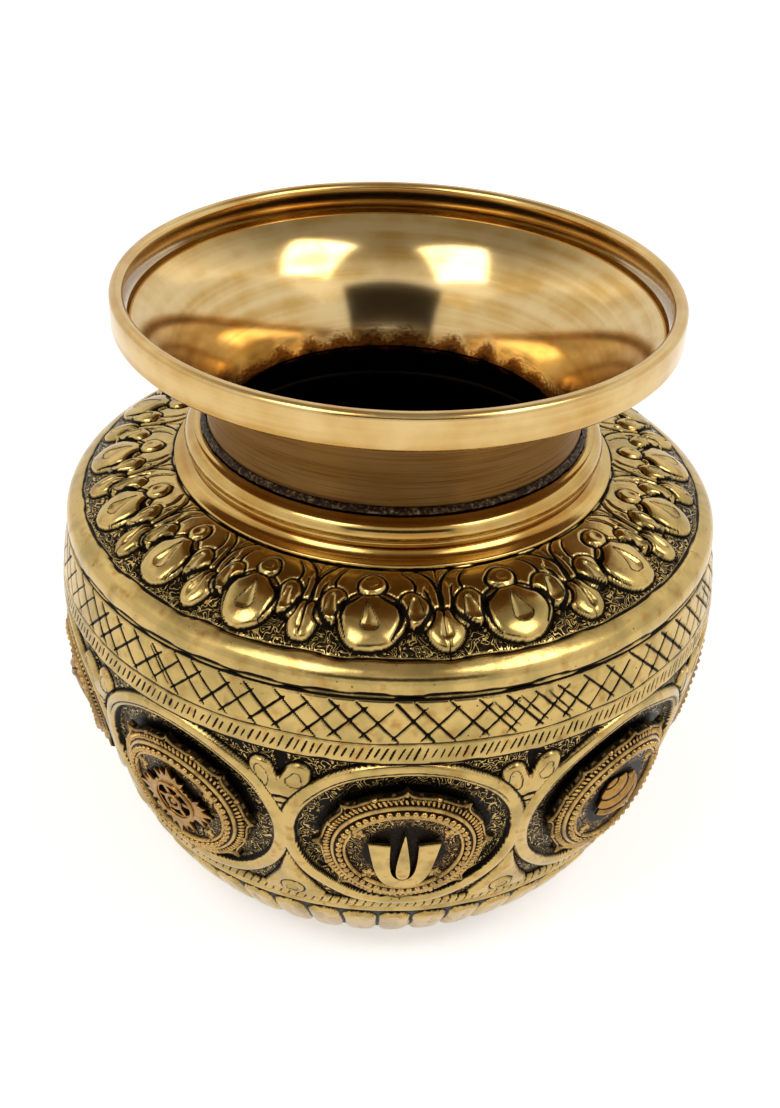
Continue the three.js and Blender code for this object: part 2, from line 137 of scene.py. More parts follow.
def blend(low: Array, high: Array, share: Array) -> Array:
    """Mixes two values by a share."""
    return low + (high - low) * share


def bezier(controls: Sequence[Floats], steps: int) -> Array:
    """Points along a Bezier curve of any degree.

    Args:
        controls: Its control points.
        steps: How many equal steps of its parameter to take.

    Returns:
        One row per point, ends included.
    """
    points = np.asarray(controls, float)
    share = np.linspace(0, 1, steps + 1)[:, None]
    degree = len(points) - 1
    return sum(
        math.comb(degree, i) * share**i * (1 - share) ** (degree - i) * points[i]
        for i in range(degree + 1)
    )


def oval(x: Array, y: Array, centre: Floats, half: Floats, turn: float = 0) -> Array:
    """Distance out from an oval's edge, negative inside.

    Args:
        x: Where, across.
        y: Where, along.
        centre: The oval's centre.
        half: Its half width and half length.
        turn: How far it is turned, in degrees.

    Returns:
        The distance at every point.
    """
    c, s = math.cos(math.radians(turn)), math.sin(math.radians(turn))
    px, py = x - centre[0], y - centre[1]
    px, py = c * px + s * py, c * py - s * px
    reach = np.hypot(px / half[0], py / half[1])
    slope = np.hypot(px / half[0] ** 2, py / half[1] ** 2)
    return np.where(reach > 1e-6, reach * (reach - 1) / np.maximum(slope, 1e-9), -min(half))


def drop(x: Array, y: Array, start: Floats, end: Floats, sizes: Floats) -> Array:
    """Distance out from a drop: a disc swept along a line while its radius changes.

    Args:
        x: Where, across.
        y: Where, along.
        start: Where the disc starts.
        end: Where it ends.
        sizes: Its radius at both ends.

    Returns:
        The distance at every point, negative inside.
    """
    run, rise = end[0] - start[0], end[1] - start[1]
    share = ((x - start[0]) * run + (y - start[1]) * rise) / max(run * run + rise * rise, 1e-9)
    share = np.clip(share, 0, 1)
    away = np.hypot(x - start[0] - share * run, y - start[1] - share * rise)
    return away - blend(sizes[0], sizes[1], share)


def stroke(x: Array, y: Array, controls: Sequence[Floats], sizes: Floats, steps: int = 7) -> Array:
    """Distance out from a curved stroke of changing width.

    Args:
        x: Where, across.
        y: Where, along.
        controls: The stroke's Bezier control points.
        sizes: Its half width at the start, the middle and the end.
        steps: How many straight steps stand for the curve.

    Returns:
        The distance at every point, negative inside.
    """
    path = bezier(controls, steps)
    shares = np.linspace(0, 1, steps + 1)
    halves = np.interp(shares, [0, 0.5, 1], sizes)
    nearest = np.full(np.broadcast(x, y).shape, 1e9)
    for i in range(steps):
        nearest = np.minimum(nearest, drop(x, y, path[i], path[i + 1], halves[i : i + 2]))
    return nearest


def waver(angle: Array, along: Array, seed: int, reach: float, amount: float) -> Array:
    """Slow unevenness of hand work, which joins up all round the pot.

    Args:
        angle: Angle round the pot, in radians.
        along: Distance along the wall, in millimetres.
        seed: Which unevenness.
        reach: About how long its waves are, in millimetres.
        amount: Its size.

    Returns:
        The unevenness at every point.
    """
    dice = np.random.default_rng(seed)
    total = np.zeros(np.broadcast(angle, along).shape)
    rounds = 2 * math.pi * 60 / reach
    for _ in range(5):
        turns = max(1, round(rounds * dice.uniform(0.5, 1.2)))
        lean = dice.uniform(-1, 1) * 2 * math.pi / reach
        total += np.sin(turns * angle + lean * along + dice.uniform(0, 2 * math.pi))
    return total * amount / math.sqrt(5)


# Meshes


def mesh_from_grid(name: str, grid: Array, poles: Sequence[Floats] = ()) -> Mesh:
    """Makes a closed mesh from rings of points.

    Args:
        name: The mesh's name.
        grid: Rings by columns by three coordinates, in millimetres. The columns close round.
        poles: A point beyond the first ring and one beyond the last, or none where the last ring
            joins the first.

    Returns:
        The mesh, in metres, smooth, with its faces outwards.
    """
    rings, columns = grid.shape[:2]
    points = grid.reshape(-1, 3)
    ring = np.arange(rings if not len(poles) else rings - 1)[:, None]
    column = np.arange(columns)[None, :]
    beyond, beside = (ring + 1) % rings, (column + 1) % columns
    quads = np.stack(
        [
            ring * columns + column,
            ring * columns + beside,
            beyond * columns + beside,
            beyond * columns + column,
        ],
        axis=-1,
    ).reshape(-1, 4)
    fans = np.zeros((0, 3), int)
    if len(poles):
        first = len(points)
        points = np.vstack([points, np.asarray(poles, float)])
        turn, near = np.arange(columns), (np.arange(columns) + 1) % columns
        top = (rings - 1) * columns
        fans = np.vstack(
            [
                np.stack([np.full(columns, first), near, turn], axis=-1),
                np.stack([np.full(columns, first + 1), top + turn, top + near], axis=-1),
            ]
        )
    a, b, c, d = (points[quads[:, i]] for i in range(4))
    volume = np.sum(np.cross(a, b) * c) + np.sum(np.cross(a, c) * d)
    if len(fans):
        e, f, g = (points[fans[:, i]] for i in range(3))
        volume += np.sum(np.cross(e, f) * g)
    if volume < 0:
        quads, fans = quads[:, ::-1], fans[:, ::-1]
    mesh = bpy.data.meshes.new(name)
    mesh.vertices.add(len(points))
    mesh.vertices.foreach_set("co", (points * MM).astype(np.float32).ravel())
    corners = np.concatenate([quads.ravel(), fans.ravel()])
    starts = np.concatenate([np.arange(len(quads)) * 4, len(quads) * 4 + np.arange(len(fans)) * 3])
    mesh.loops.add(len(corners))
    mesh.loops.foreach_set("vertex_index", corners.astype(np.int32))
    mesh.polygons.add(len(starts))
    mesh.polygons.foreach_set("loop_start", starts.astype(np.int32))
    mesh.update(calc_edges=True)
    mesh.polygons.foreach_set("use_smooth", np.ones(len(starts), bool))
    return mesh


def read(items: Any, name: str, width: int = 3, kind: type = np.float32) -> Array:
    """Reads a property of all the points, edges or triangles of a mesh.

    Args:
        items: The points, edges or triangles.
        name: The property's name.
        width: How many numbers it has.
        kind: What kind of numbers they are.

    Returns:
        One row per item.
    """
    values = np.zeros(len(items) * width, kind)
    items.foreach_get(name, values)
    return values.reshape(-1, width)


def mark_sharp(mesh: Mesh, flags: Array) -> None:
    """Makes an edge sharp where both its ends are flagged.

    Args:
        mesh: The mesh.
        flags: Whether each of its points is flagged.
    """
    ends = read(mesh.edges, "vertices", 2, np.int32)
    mark = mesh.attributes.new("sharp_edge", "BOOLEAN", "EDGE")
    mark.data.foreach_set("value", flags[ends[:, 0]] & flags[ends[:, 1]])


def store(mesh: Mesh, name: str, values: Array) -> None:
    """Keeps one number per vertex under a name that a material can read."""
    kept = mesh.attributes.new(name, "FLOAT", "POINT")
    kept.data.foreach_set("value", values.astype(np.float32).ravel())


def add_object(name: str, data: Any) -> Object:
    """Puts a new object that holds a mesh, a curve, a lamp or a camera in the scene.

    Args:
        name: The object's name.
        data: What it holds.

    Returns:
        The new object.
    """
    made = bpy.data.objects.new(name, data)
    bpy.context.scene.collection.objects.link(made)
    return made


def place(name: str, mesh: Mesh, material: Material, slot: str, nodes: Sequence[str]) -> None:
    """Puts a finished piece in the scene, on the pot's body and in place of its nodes.

    Args:
        name: The piece's name.
        mesh: Its mesh, already in its place.
        material: Its finish.
        slot: The record's material slot. It is not used.
        nodes: The nodes of the frame that it stands for.
    """
    piece = add_object(name, mesh)
    mesh.materials.clear()
    mesh.materials.append(material)
    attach(piece, BODY)
    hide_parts(*nodes)
    mesh.calc_loop_triangles()
    LOG.info("%s: %d triangles", name, len(mesh.loop_triangles))


# Finishes


class Finish(ABC):
    """How one kind of surface on the pot looks."""

    name: str
    slot: str

    @abstractmethod
    def dress(self, add: Adder) -> dict[str, Any]:
        """Adds this finish's own nodes to a material.

        Args:
            add: Adds a node to the material's tree.

        Returns:
            What goes into each of the shader's inputs.
        """

    def material(self) -> Material:
        """Makes the finish as a material, once.

        Returns:
            The material.
        """
        made = bpy.data.materials.get(self.name)
        if made:
            return made
        made = bpy.data.materials.new(self.name)
        made.use_nodes = True
        made.node_tree.nodes.clear()
        add = partial(add_node, made.node_tree)
        shader = add("ShaderNodeBsdfPrincipled", {"Metallic": 1.0, **self.dress(add)})
        add("ShaderNodeOutputMaterial", {"Surface": shader})
        return made


@dataclass(frozen=True)
class ChasedBrass(Finish):
    """Brass worked with punches, blackened, then buffed by hand on all that stands up.

    The eye sees pale satin yellow where the buff reached, olive and brown smears of tarnish,
    black strokes, small pits that kept their dirt, and a punched ground whose fine worm-like
    ridges caught the buff while all between them stayed black.
    """

    name: str
    slot: str
    bright: str = "#C6A867"
    olive: str = "#A08A52"
    warm: str = "#A2763A"
    patina_and_shade: str = "#17120D"
    shine: float = 0.2
    dull: float = 0.5
    smear: float = 8.0
    worm: float = 2.0
    worm_depth: float = 0.12
    pit: float = 1.3
    hammer: float = 1.7
    hammer_depth: float = 0.035

    def dress(self, add: Adder) -> dict[str, Any]:
        """Adds this finish's own nodes, as the class above says.

        Args:
            add: Adds a node to the material's tree.

        Returns:
            What goes into each of the shader's inputs.
        """
        at = add("ShaderNodeTexCoord").outputs["Object"]
        ground = add("ShaderNodeAttribute", attribute_name="ground").outputs["Fac"]
        grain = add("ShaderNodeTexNoise", {"Vector": at, "Scale": 1 / (0.9 * MM), "Detail": 3.0})
        ridges = self.ridges(add, at)
        black = self.blackness(add, at, ground, grain, ridges)
        colour = add(
            "ShaderNodeMix",
            {"Factor": black, "A": self.metal(add, at), "B": linear(self.patina_and_shade)},
            data_type="RGBA",
        )
        rough = add(
            "ShaderNodeMapRange", {"Value": black, "To Min": self.shine, "To Max": self.dull}
        )
        blows = add(
            "ShaderNodeTexNoise",
            {"Vector": at, "Scale": 1 / (self.hammer * MM), "Detail": 4.0, "Roughness": 0.6},
        )
        beaten = add("ShaderNodeBump", {"Height": blows, "Distance": self.hammer_depth * MM})
        depth = add("ShaderNodeMath", {0: ridges, 1: ground}, operation="MULTIPLY")
        carved = add(
            "ShaderNodeBump", {"Height": depth, "Distance": self.worm_depth * MM, "Normal": beaten}
        )
        return {"Base Color": colour.outputs[2], "Roughness": rough, "Normal": carved}

    def metal(self, add: Adder, at: NodeSocket) -> NodeSocket:
        """The bare metal's colour, with broad olive smears and smaller brown ones.

        Args:
            add: Adds a node to the material's tree.
            at: Where the point is.

        Returns:
            The colour's socket.
        """
        last: Any = linear(self.bright)
        kinds = ((self.olive, self.smear, 0.44), (self.warm, self.smear / 3, 0.54))
        for shade, reach, start in kinds:
            smears = add(
                "ShaderNodeTexNoise", {"Vector": at, "Scale": 1 / (reach * MM), "Detail": 4.0}
            )
            share = add(
                "ShaderNodeMapRange",
                {"Value": smears, "From Min": start, "From Max": start + 0.2, "To Max": 0.8},
            )
            mixed = add(
                "ShaderNodeMix", {"Factor": share, "A": last, "B": linear(shade)}, data_type="RGBA"
            )
            last = mixed.outputs[2]
        return last

    def ridges(self, add: Adder, at: NodeSocket) -> Node:
        """Thin winding ridges: the level lines of a smooth unevenness.

        They stand a little under a millimetre apart, coarser than the punch left them, so that
        they show.

        Args:
            add: Adds a node to the material's tree.
            at: Where the point is.

        Returns:
            A node whose first output is 1 on a ridge and 0 between them.
        """
        swell = add(
            "ShaderNodeTexNoise",
            {"Vector": at, "Scale": 1 / (self.worm * MM), "Detail": 1.0, "Distortion": 0.6},
        )
        steps = add("ShaderNodeMath", {0: swell, 1: 7.0}, operation="MULTIPLY")
        fold = add("ShaderNodeMath", {0: steps, 1: 0.5}, operation="PINGPONG")
        return add(
            "ShaderNodeMapRange",
            {"Value": fold, "From Min": 0.27, "From Max": 0.42},
            interpolation_type="SMOOTHSTEP",
        )

    def blackness(
        self, add: Adder, at: NodeSocket, ground: NodeSocket, grain: Node, ridges: Node
    ) -> Node:
        """How much patina lies at each point: in strokes, in the punched ground, in pits, and as
        painted shade on the rings inside and under the pot.

        Args:
            add: Adds a node to the material's tree.
            at: Where the point is.
            ground: How far it lies in the punched ground.
            grain: A fine unevenness that frays the edges.
            ridges: Where the ground's ridges stand.

        Returns:
            A node whose first output runs from 0, bare, to 1, black.
        """
        # patina of the chased work, and painted shade on the rings inside and under the pot
        dirt_and_shade = add("ShaderNodeAttribute", attribute_name="patina_and_shade").outputs["Fac"]
        bare = add("ShaderNodeMath", {0: ridges, 1: grain}, operation="MULTIPLY")
        low = add(
            "ShaderNodeMapRange",
            {"Value": bare, "From Min": 0.15, "From Max": 0.5, "To Min": 1.0, "To Max": 0.1},
        )
        hollow = add("ShaderNodeMath", {0: ground, 1: low}, operation="MULTIPLY")
        both = add("ShaderNodeMath", {0: dirt_and_shade, 1: hollow}, operation="MAXIMUM")
        frayed = add("ShaderNodeMath", {0: grain, 1: 0.35, 2: both}, operation="MULTIPLY_ADD")
        black = add(
            "ShaderNodeMapRange",
            {"Value": frayed, "From Min": 0.38, "From Max": 0.95},
            interpolation_type="SMOOTHSTEP",
        )
        cells = add("ShaderNodeTexVoronoi", {"Vector": at, "Scale": 1 / (self.pit * MM)})
        chance = add("ShaderNodeSeparateColor", {0: cells.outputs["Color"]})
        size = add(
            "ShaderNodeMapRange",
            {"Value": chance, "From Min": 0.55, "From Max": 1.0, "To Max": 0.2},
        )
        inside = add(
            "ShaderNodeMath", {0: size, 1: cells.outputs["Distance"]}, operation="SUBTRACT"
        )
        pits = add("ShaderNodeMapRange", {"Value": inside, "From Max": 0.08, "To Max": 0.75})
        return add("ShaderNodeMath", {0: black, 1: pits}, operation="MAXIMUM")


@dataclass(frozen=True)
class TurnedBrass(Finish):
    """Brass turned on a lathe and polished.

    It mirrors the room, broken into fine level lines by what the tool and the rag left. Where a
    piece is marked as satin it is a deep gold with brown turning lines. Where it is marked with
    tarnish and painted shade the metal goes from amber to black: amber tarnish at the top of the
    bore, and black painted shade deeper inside it.
    """

    name: str
    slot: str
    bright: str = "#C6A867"
    warm: str = "#B08440"
    deep: str = "#7C5420"
    amber: str = "#6B4118"
    patina_and_shade: str = "#120D0A"
    shine: float = 0.05
    satin: float = 0.5
    line: float = 0.35
    line_depth: float = 0.002
    satin_depth: float = 0.016
    pit_depth: float = 0.25
    quarter_turn: float = 0.25

    def dress(self, add: Adder) -> dict[str, Any]:
        """Adds this finish's own nodes, as the class above says.

        Args:
            add: Adds a node to the material's tree.

        Returns:
            What goes into each of the shader's inputs.
        """
        at = add("ShaderNodeTexCoord").outputs["Object"]
        satin = add("ShaderNodeAttribute", attribute_name="satin").outputs["Fac"]
        # tarnish at the top of the bore, and black painted shade deeper inside it
        dirt_and_shade = add("ShaderNodeAttribute", attribute_name="patina_and_shade").outputs["Fac"]
        level = self.level(add, at)
        lines = add(
            "ShaderNodeTexNoise",
            {"Vector": level, "Scale": 1 / (self.line * MM), "Detail": 3.0, "Roughness": 0.65},
        )
        bands = add(
            "ShaderNodeTexNoise", {"Vector": level, "Scale": 1 / (2.2 * MM), "Detail": 2.0}
        )
        smears = add("ShaderNodeTexNoise", {"Vector": at, "Scale": 1 / (9 * MM), "Detail": 5.0})
        specks = add("ShaderNodeTexNoise", {"Vector": at, "Scale": 1 / (0.8 * MM), "Detail": 3.0})
        tone = add("ShaderNodeMath", {0: bands, 1: smears}, operation="MULTIPLY")
        toned = add("ShaderNodeMapRange", {"Value": tone, "From Min": 0.18, "From Max": 0.4})
        frayed = add("ShaderNodeMath", {0: specks, 1: 0.5, 2: dirt_and_shade}, operation="MULTIPLY_ADD")
        ragged = add(
            "ShaderNodeMapRange",
            {"Value": lines, "From Min": 0.36, "From Max": 0.5, "To Min": 0.85, "To Max": 0.0},
        )
        streaks = add("ShaderNodeMath", {0: ragged, 1: satin}, operation="MULTIPLY")
        last: Any = linear(self.bright)
        steps = (
            (toned, 0.0, 1.0, self.warm),
            (satin, 0.0, 1.2, self.deep),
            (streaks, 0.0, 1.0, self.amber),
            # amber tarnish, then the black of the painted shade down the bore
            (frayed, 0.35, 0.6, self.amber),
            (frayed, 0.75, 1.1, self.patina_and_shade),
        )
        for share, start, end, shade in steps:
            part = add("ShaderNodeMapRange", {"Value": share, "From Min": start, "From Max": end})
            mixed = add(
                "ShaderNodeMix", {"Factor": part, "A": last, "B": linear(shade)}, data_type="RGBA"
            )
            last = mixed.outputs[2]
        worn = add("ShaderNodeMath", {0: satin, 1: dirt_and_shade}, operation="MAXIMUM")
        rough = add(
            "ShaderNodeMapRange", {"Value": worn, "To Min": self.shine, "To Max": self.satin}
        )
        deep = add(
            "ShaderNodeMapRange",
            {"Value": worn, "To Min": self.line_depth * MM, "To Max": self.satin_depth * MM},
        )
        bump = add("ShaderNodeBump", {"Height": lines, "Distance": deep})
        pitted = add("ShaderNodeMath", {0: specks, 1: dirt_and_shade}, operation="MULTIPLY")
        pits = add(
            "ShaderNodeBump", {"Height": pitted, "Distance": self.pit_depth * MM, "Normal": bump}
        )
        return {
            "Base Color": last,
            "Roughness": rough,
            "Normal": pits,
            "Tangent": add("ShaderNodeTangent", direction_type="RADIAL", axis="Z"),
            "Anisotropic": satin,
            "Anisotropic Rotation": self.quarter_turn,
        }

    def level(self, add: Adder, at: NodeSocket) -> Node:
        """A place that changes with radius and height only, but for a slight drift round.

        Args:
            add: Adds a node to the material's tree.
            at: Where the point is.

        Returns:
            A node whose first output is the place.
        """
        apart = add("ShaderNodeSeparateXYZ", {0: at})
        flat = add("ShaderNodeVectorMath", {0: at, 1: (1.0, 1.0, 0.0)}, operation="MULTIPLY")
        out = add("ShaderNodeVectorMath", {0: flat}, operation="LENGTH")
        way = add(
            "ShaderNodeCombineXYZ", {"X": out.outputs["Value"], "Y": 0.0, "Z": apart.outputs["Z"]}
        )
        drift = add("ShaderNodeVectorMath", {0: at, 1: (0.015, 0.015, 0.0)}, operation="MULTIPLY")
        return add("ShaderNodeVectorMath", {0: way, 1: drift}, operation="ADD")


@dataclass(frozen=True)
class RoughSolder(Finish):
    """Solder that ran round the neck and was left as it set.

    The eye sees a dull brown seam, pitted nearly black, with small light specks.
    """

    name: str
    slot: str
    pale: str = "#9A835F"
    dark: str = "#30221A"
    lump: float = 0.8
    lump_depth: float = 0.4
    gloss: float = 0.42

    def dress(self, add: Adder) -> dict[str, Any]:
        """Adds this finish's own nodes, as the class above says.

        Args:
            add: Adds a node to the material's tree.

        Returns:
            What goes into each of the shader's inputs.
        """
        at = add("ShaderNodeTexCoord").outputs["Object"]
        lumps = add(
            "ShaderNodeTexNoise",
            {"Vector": at, "Scale": 1 / (self.lump * MM), "Detail": 5.0, "Roughness": 0.7},
        )
        shade = add("ShaderNodeMapRange", {"Value": lumps, "From Min": 0.5, "From Max": 0.72})
        colour = add(
            "ShaderNodeMix",
            {"Factor": shade, "A": linear(self.dark), "B": linear(self.pale)},
            data_type="RGBA",
        )
        bump = add("ShaderNodeBump", {"Height": lumps, "Distance": self.lump_depth * MM})
        return {"Base Color": colour.outputs[2], "Normal": bump, "Roughness": self.gloss}


CHASED = ChasedBrass("buffed_chased_brass", "chased_brass")
CAST = ChasedBrass(
    "cast_brass_medallion",
    "cast_brass",
    bright="#C09C5C",
    olive="#8E7242",
    warm="#7A5729",
    patina_and_shade="#1C140D",
    shine=0.24,
    smear=5.0,
    worm=1.7,
)
EMBLEM = ChasedBrass(
    "cast_brass_emblem", "emblem_brass", patina_and_shade="#2E2418", shine=0.18, smear=5.0, pit=1.6
)
COPPERY = ChasedBrass(
    "coppery_brass_emblem",
    "coppery_brass",
    bright="#AA8144",
    olive="#7E5D33",
    warm="#553A22",
    patina_and_shade="#1A110B",
    shine=0.26,
    smear=5.0,
)
MIRROR = TurnedBrass(
    "mirror_polished_brass", "polished_brass", bright="#D6BA84", warm="#C09A58", shine=0.13
)
SATIN = TurnedBrass(
    "turned_satin_brass", "turned_brass", bright="#D2B47A", warm="#BC9250", shine=0.18
)
TURNED_COLLAR = TurnedBrass("turned_collar_brass", "chased_brass", shine=0.16)
SOLDER = RoughSolder("rough_set_solder", "solder")


# The wall and its chased bands


@dataclass
class Wall:
    """The pot's outline over its raised work, from the collar line down to the foot."""

    foot_radius: float = 42.0
    heel_run: float = 20.3
    heel_rise: float = 6.5
    belly_radius: float = 69.0
    belly_height: float = 65.2
    belly_reach: float = 7.0
    rim_radius: float = 67.0
    rim_height: float = 81.4
    seat_gap: float = 0.3
    collar_radius: float = 44.8
    shoulder_rise: float = 11.8
    bead_height: float = 5.4
    bead_bulge: float = 1.3
    bead_inset: float = 3.0
    crown: float = 1.4
    slope_down: float = 20.0
    rim_down: float = 26.3
    steps: tuple[int, int] = (500, 200)
    bow_points: int = 60
    probe: float = 0.4
    downs: Array = field(init=False)
    radii: Array = field(init=False)
    heights: Array = field(init=False)

    def __post_init__(self) -> None:
        """Samples the outline once, finely."""
        base = self.rim_height + self.seat_gap
        edge = (self.rim_radius, base)
        bead_top = (self.rim_radius - self.bead_inset, base + self.bead_height)
        collar = (self.collar_radius, base + self.shoulder_rise)
        slope = self.bow(bead_top, collar, self.crown)[::-1]
        bead = self.bow(edge, bead_top, self.bead_bulge)[::-1]
        lower = bezier(
            [
                (self.foot_radius, 0),
                (self.foot_radius + self.heel_run, self.heel_rise),
                (self.belly_radius, self.belly_height - self.belly_reach),
                (self.belly_radius, self.belly_height),
            ],
            self.steps[0],
        )
        upper = bezier(
            [
                (self.belly_radius, self.belly_height),
                (self.belly_radius, self.belly_height + self.belly_reach),
                (self.rim_radius, self.rim_height),
            ],
            self.steps[1],
        )
        bowl = np.vstack([lower, upper[1:]])[::-1]
        lengths = np.concatenate([[0], np.cumsum(np.hypot(*np.diff(bowl, axis=0).T))])
        share = np.linspace(0, 1, len(slope))
        start = self.rim_down + self.seat_gap
        self.downs = np.concatenate(
            [
                share * self.slope_down,
                self.slope_down + share[1:] * (self.rim_down - self.slope_down),
                start + lengths,
            ]
        )
        points = np.vstack([slope, bead[1:], bowl])
        self.radii, self.heights = points[:, 0], points[:, 1]

    def bow(self, start: Floats, end: Floats, bulge: float) -> Array:
        """Points along a bow between two points.

        Args:
            start: Where it starts.
            end: Where it ends.
            bulge: How far its middle stands out to the right.

        Returns:
            One row per point, ends included.
        """
        share = np.linspace(0, 1, self.bow_points)
        run, rise = end[0] - start[0], end[1] - start[1]
        out = bulge * np.sin(share * math.pi) / math.hypot(run, rise)
        return np.stack(
            [start[0] + run * share + rise * out, start[1] + rise * share - run * out], axis=-1
        )

    def at(self, down: Array) -> tuple[Array, Array]:
        """Radius and height at a distance down."""
        return np.interp(down, self.downs, self.radii), np.interp(down, self.downs, self.heights)

    def out(self, down: Array) -> tuple[Array, Array]:
        """The direction out of the wall.

        Args:
            down: Where, as distances down.

        Returns:
            Its outward and its upward part.
        """
        (r0, z0), (r1, z1) = self.at(down - self.probe), self.at(down + self.probe)
        run, fall = r1 - r0, z0 - z1
        length = np.maximum(np.hypot(run, fall), 1e-6)
        return fall / length, run / length

    def down_at(self, height: float) -> float:
        """The distance down at a height on the bowl."""
        return float(np.interp(-height, -self.heights, self.downs))


class Relief:
    """The height and the dirt of a chased band, built up one tool stroke after another."""

    edge: ClassVar[float] = 0.3
    line_depth: ClassVar[float] = 0.35
    dirt_width: ClassVar[float] = 0.22

    def __init__(self, shape: tuple[int, ...], level: float = 0.0) -> None:
        """Starts from a plain band at one level."""
        self.height = np.full(shape, level)
        self.patina_and_shade, self.ground = np.zeros(shape), np.zeros(shape)

    def form(
        self, distance: Array, base: float, rise: float, width: float, line: float = 0.35
    ) -> None:
        """Raises a rounded form over what is there, with a stroke cut round it.

        Args:
            distance: Distance out from its edge.
            base: The level at its edge.
            rise: How far it stands above that.
            width: Over what distance from the edge it rises.
            line: How wide the stroke round it is.
        """
        inside = ease(0.5 - distance / self.edge)
        share = np.clip(-distance / width, 0, 1)
        dome = base + rise * np.sqrt(1 - (1 - share) ** 2)
        self.height = blend(self.height, dome, inside)
        self.patina_and_shade *= 1 - inside
        self.ground *= 1 - inside
        self.cut(np.abs(distance - line * 0.4) - line / 2, self.line_depth)

    def cut(self, distance: Array, depth: float, stain: float = 1.0, soft: float = 0.25) -> None:
        """Cuts a stroke that stays dark.

        Args:
            distance: Distance out from its edge.
            depth: How deep it is.
            stain: How dark it stays.
            soft: How softly its edge goes down.
        """
        self.engrave(ease(0.5 - distance / soft), depth, stain)

    def engrave(self, inside: Array, depth: float, stain: float = 1.0) -> None:
        """Sinks what lies inside a stroke, and darkens it."""
        self.height -= depth * inside
        self.patina_and_shade = np.maximum(self.patina_and_shade, stain * inside)

    def dent(self, distance: Array, depth: float, width: float, stain: float = 0.75) -> None:
        """Presses a smooth hollow that keeps dirt along its edge.

        Args:
            distance: Distance out from its edge.
            depth: How deep it is.
            width: Over what distance from the edge it goes down.
            stain: How dark its edge stays.
        """
        share = np.clip(-distance / width, 0, 1)
        self.height -= depth * share * (2 - share)
        rim = np.exp(-((distance / self.dirt_width) ** 2))
        self.patina_and_shade = np.maximum(self.patina_and_shade, stain * rim)

    def punch(self, inside: Array, depth: float, dark: float = 1.0) -> None:
        """Sinks a ground that is punched all over."""
        self.height -= depth * inside
        self.ground = np.maximum(self.ground, dark * inside)

    def wash(self, inside: Array, stain: float) -> None:
        """Leaves a thin film of patina."""
        self.patina_and_shade = np.maximum(self.patina_and_shade, stain * inside)


@dataclass
class Band(ABC):
    """A chased band of the wall, as a closed ring with its inner wall.

    Inner tarnish and shade: how dark the rings before and after the chased ones are, as painted
    shade inside and under the pot. Sharp rows are the chased rings along which its edge is crisp.
    """

    wall: Wall
    name: str = ""
    top: float = 0.0
    bottom: float = 0.0
    columns: int = 1200
    rows: int = 70
    nodes: tuple[str, ...] = ("bowl",)
    inner: float = 3.3  # how far the inner wall lies behind the plain outline
    # painted shade: none on the rings before the chased ones, black on those inside the pot after
    # them
    inner_tarnish_and_shade: tuple[float, float] = (0.0, 0.95)
    sharp_rows: tuple[int, ...] = (0, -1)

    def __post_init__(self) -> None:
        """Lays out the grid that the band is chased on."""
        self.down = np.linspace(self.top, self.bottom, self.rows + 1)[:, None]
        self.angle = (np.arange(self.columns) / self.columns * 2 * math.pi)[None, :]
        self.radius, self.level = self.wall.at(self.down)

    @abstractmethod
    def chase(self) -> Relief:
        """Chases the band and gives the relief over its grid."""

    def turned(self, radius: Array, height: Array) -> Array:
        """Points at radii and heights round all the columns.

        Args:
            radius: One radius per ring, or one per point.
            height: Likewise.

        Returns:
            Rings by columns by three coordinates.
        """
        x, y = radius * np.sin(self.angle), -radius * np.cos(self.angle)
        return np.stack(np.broadcast_arrays(x, y, height), axis=-1)

    def shell(self) -> Shell:
        """The rings that close the band: here those of the inner wall, from below upwards.

        Returns:
            The rings before the chased ones, those after them, and any poles.
        """
        down = np.linspace(self.bottom, self.top, 4)[:, None]
        radius, height = self.wall.at(down)
        rings = self.turned(radius - self.inner, height)
        return rings[:0], rings, ()

    def build(self) -> None:
        """Makes the band's mesh and puts it in the scene."""
        relief = self.chase()
        outward, upward = self.wall.out(self.down)
        radius = self.radius + relief.height * outward
        outer = self.turned(radius, self.level + relief.height * upward)
        before, after, poles = self.shell()
        mesh = mesh_from_grid(self.name, np.concatenate([before, outer, after]), poles)
        ahead, behind = len(before) * self.columns, len(after) * self.columns
        # the shell rings take the band's painted inner shade, the chased ones their own patina
        for name, values, (first, last) in (
            ("patina_and_shade", relief.patina_and_shade, self.inner_tarnish_and_shade), ("ground", relief.ground, (0.0, 0.0))
        ):
            chased = np.clip(values, 0, 1).ravel()
            ends = [first, last][: len(poles)]
            kept = [np.full(ahead, first), chased, np.full(behind, last), ends]
            store(mesh, name, np.concatenate(kept))
        flags = np.zeros(len(mesh.vertices), bool)
        for row in self.sharp_rows:
            start = ahead + row % (self.rows + 1) * self.columns
            flags[start : start + self.columns] = True
        mark_sharp(mesh, flags)
        place(self.name, mesh, CHASED.material(), CHASED.slot, self.nodes)


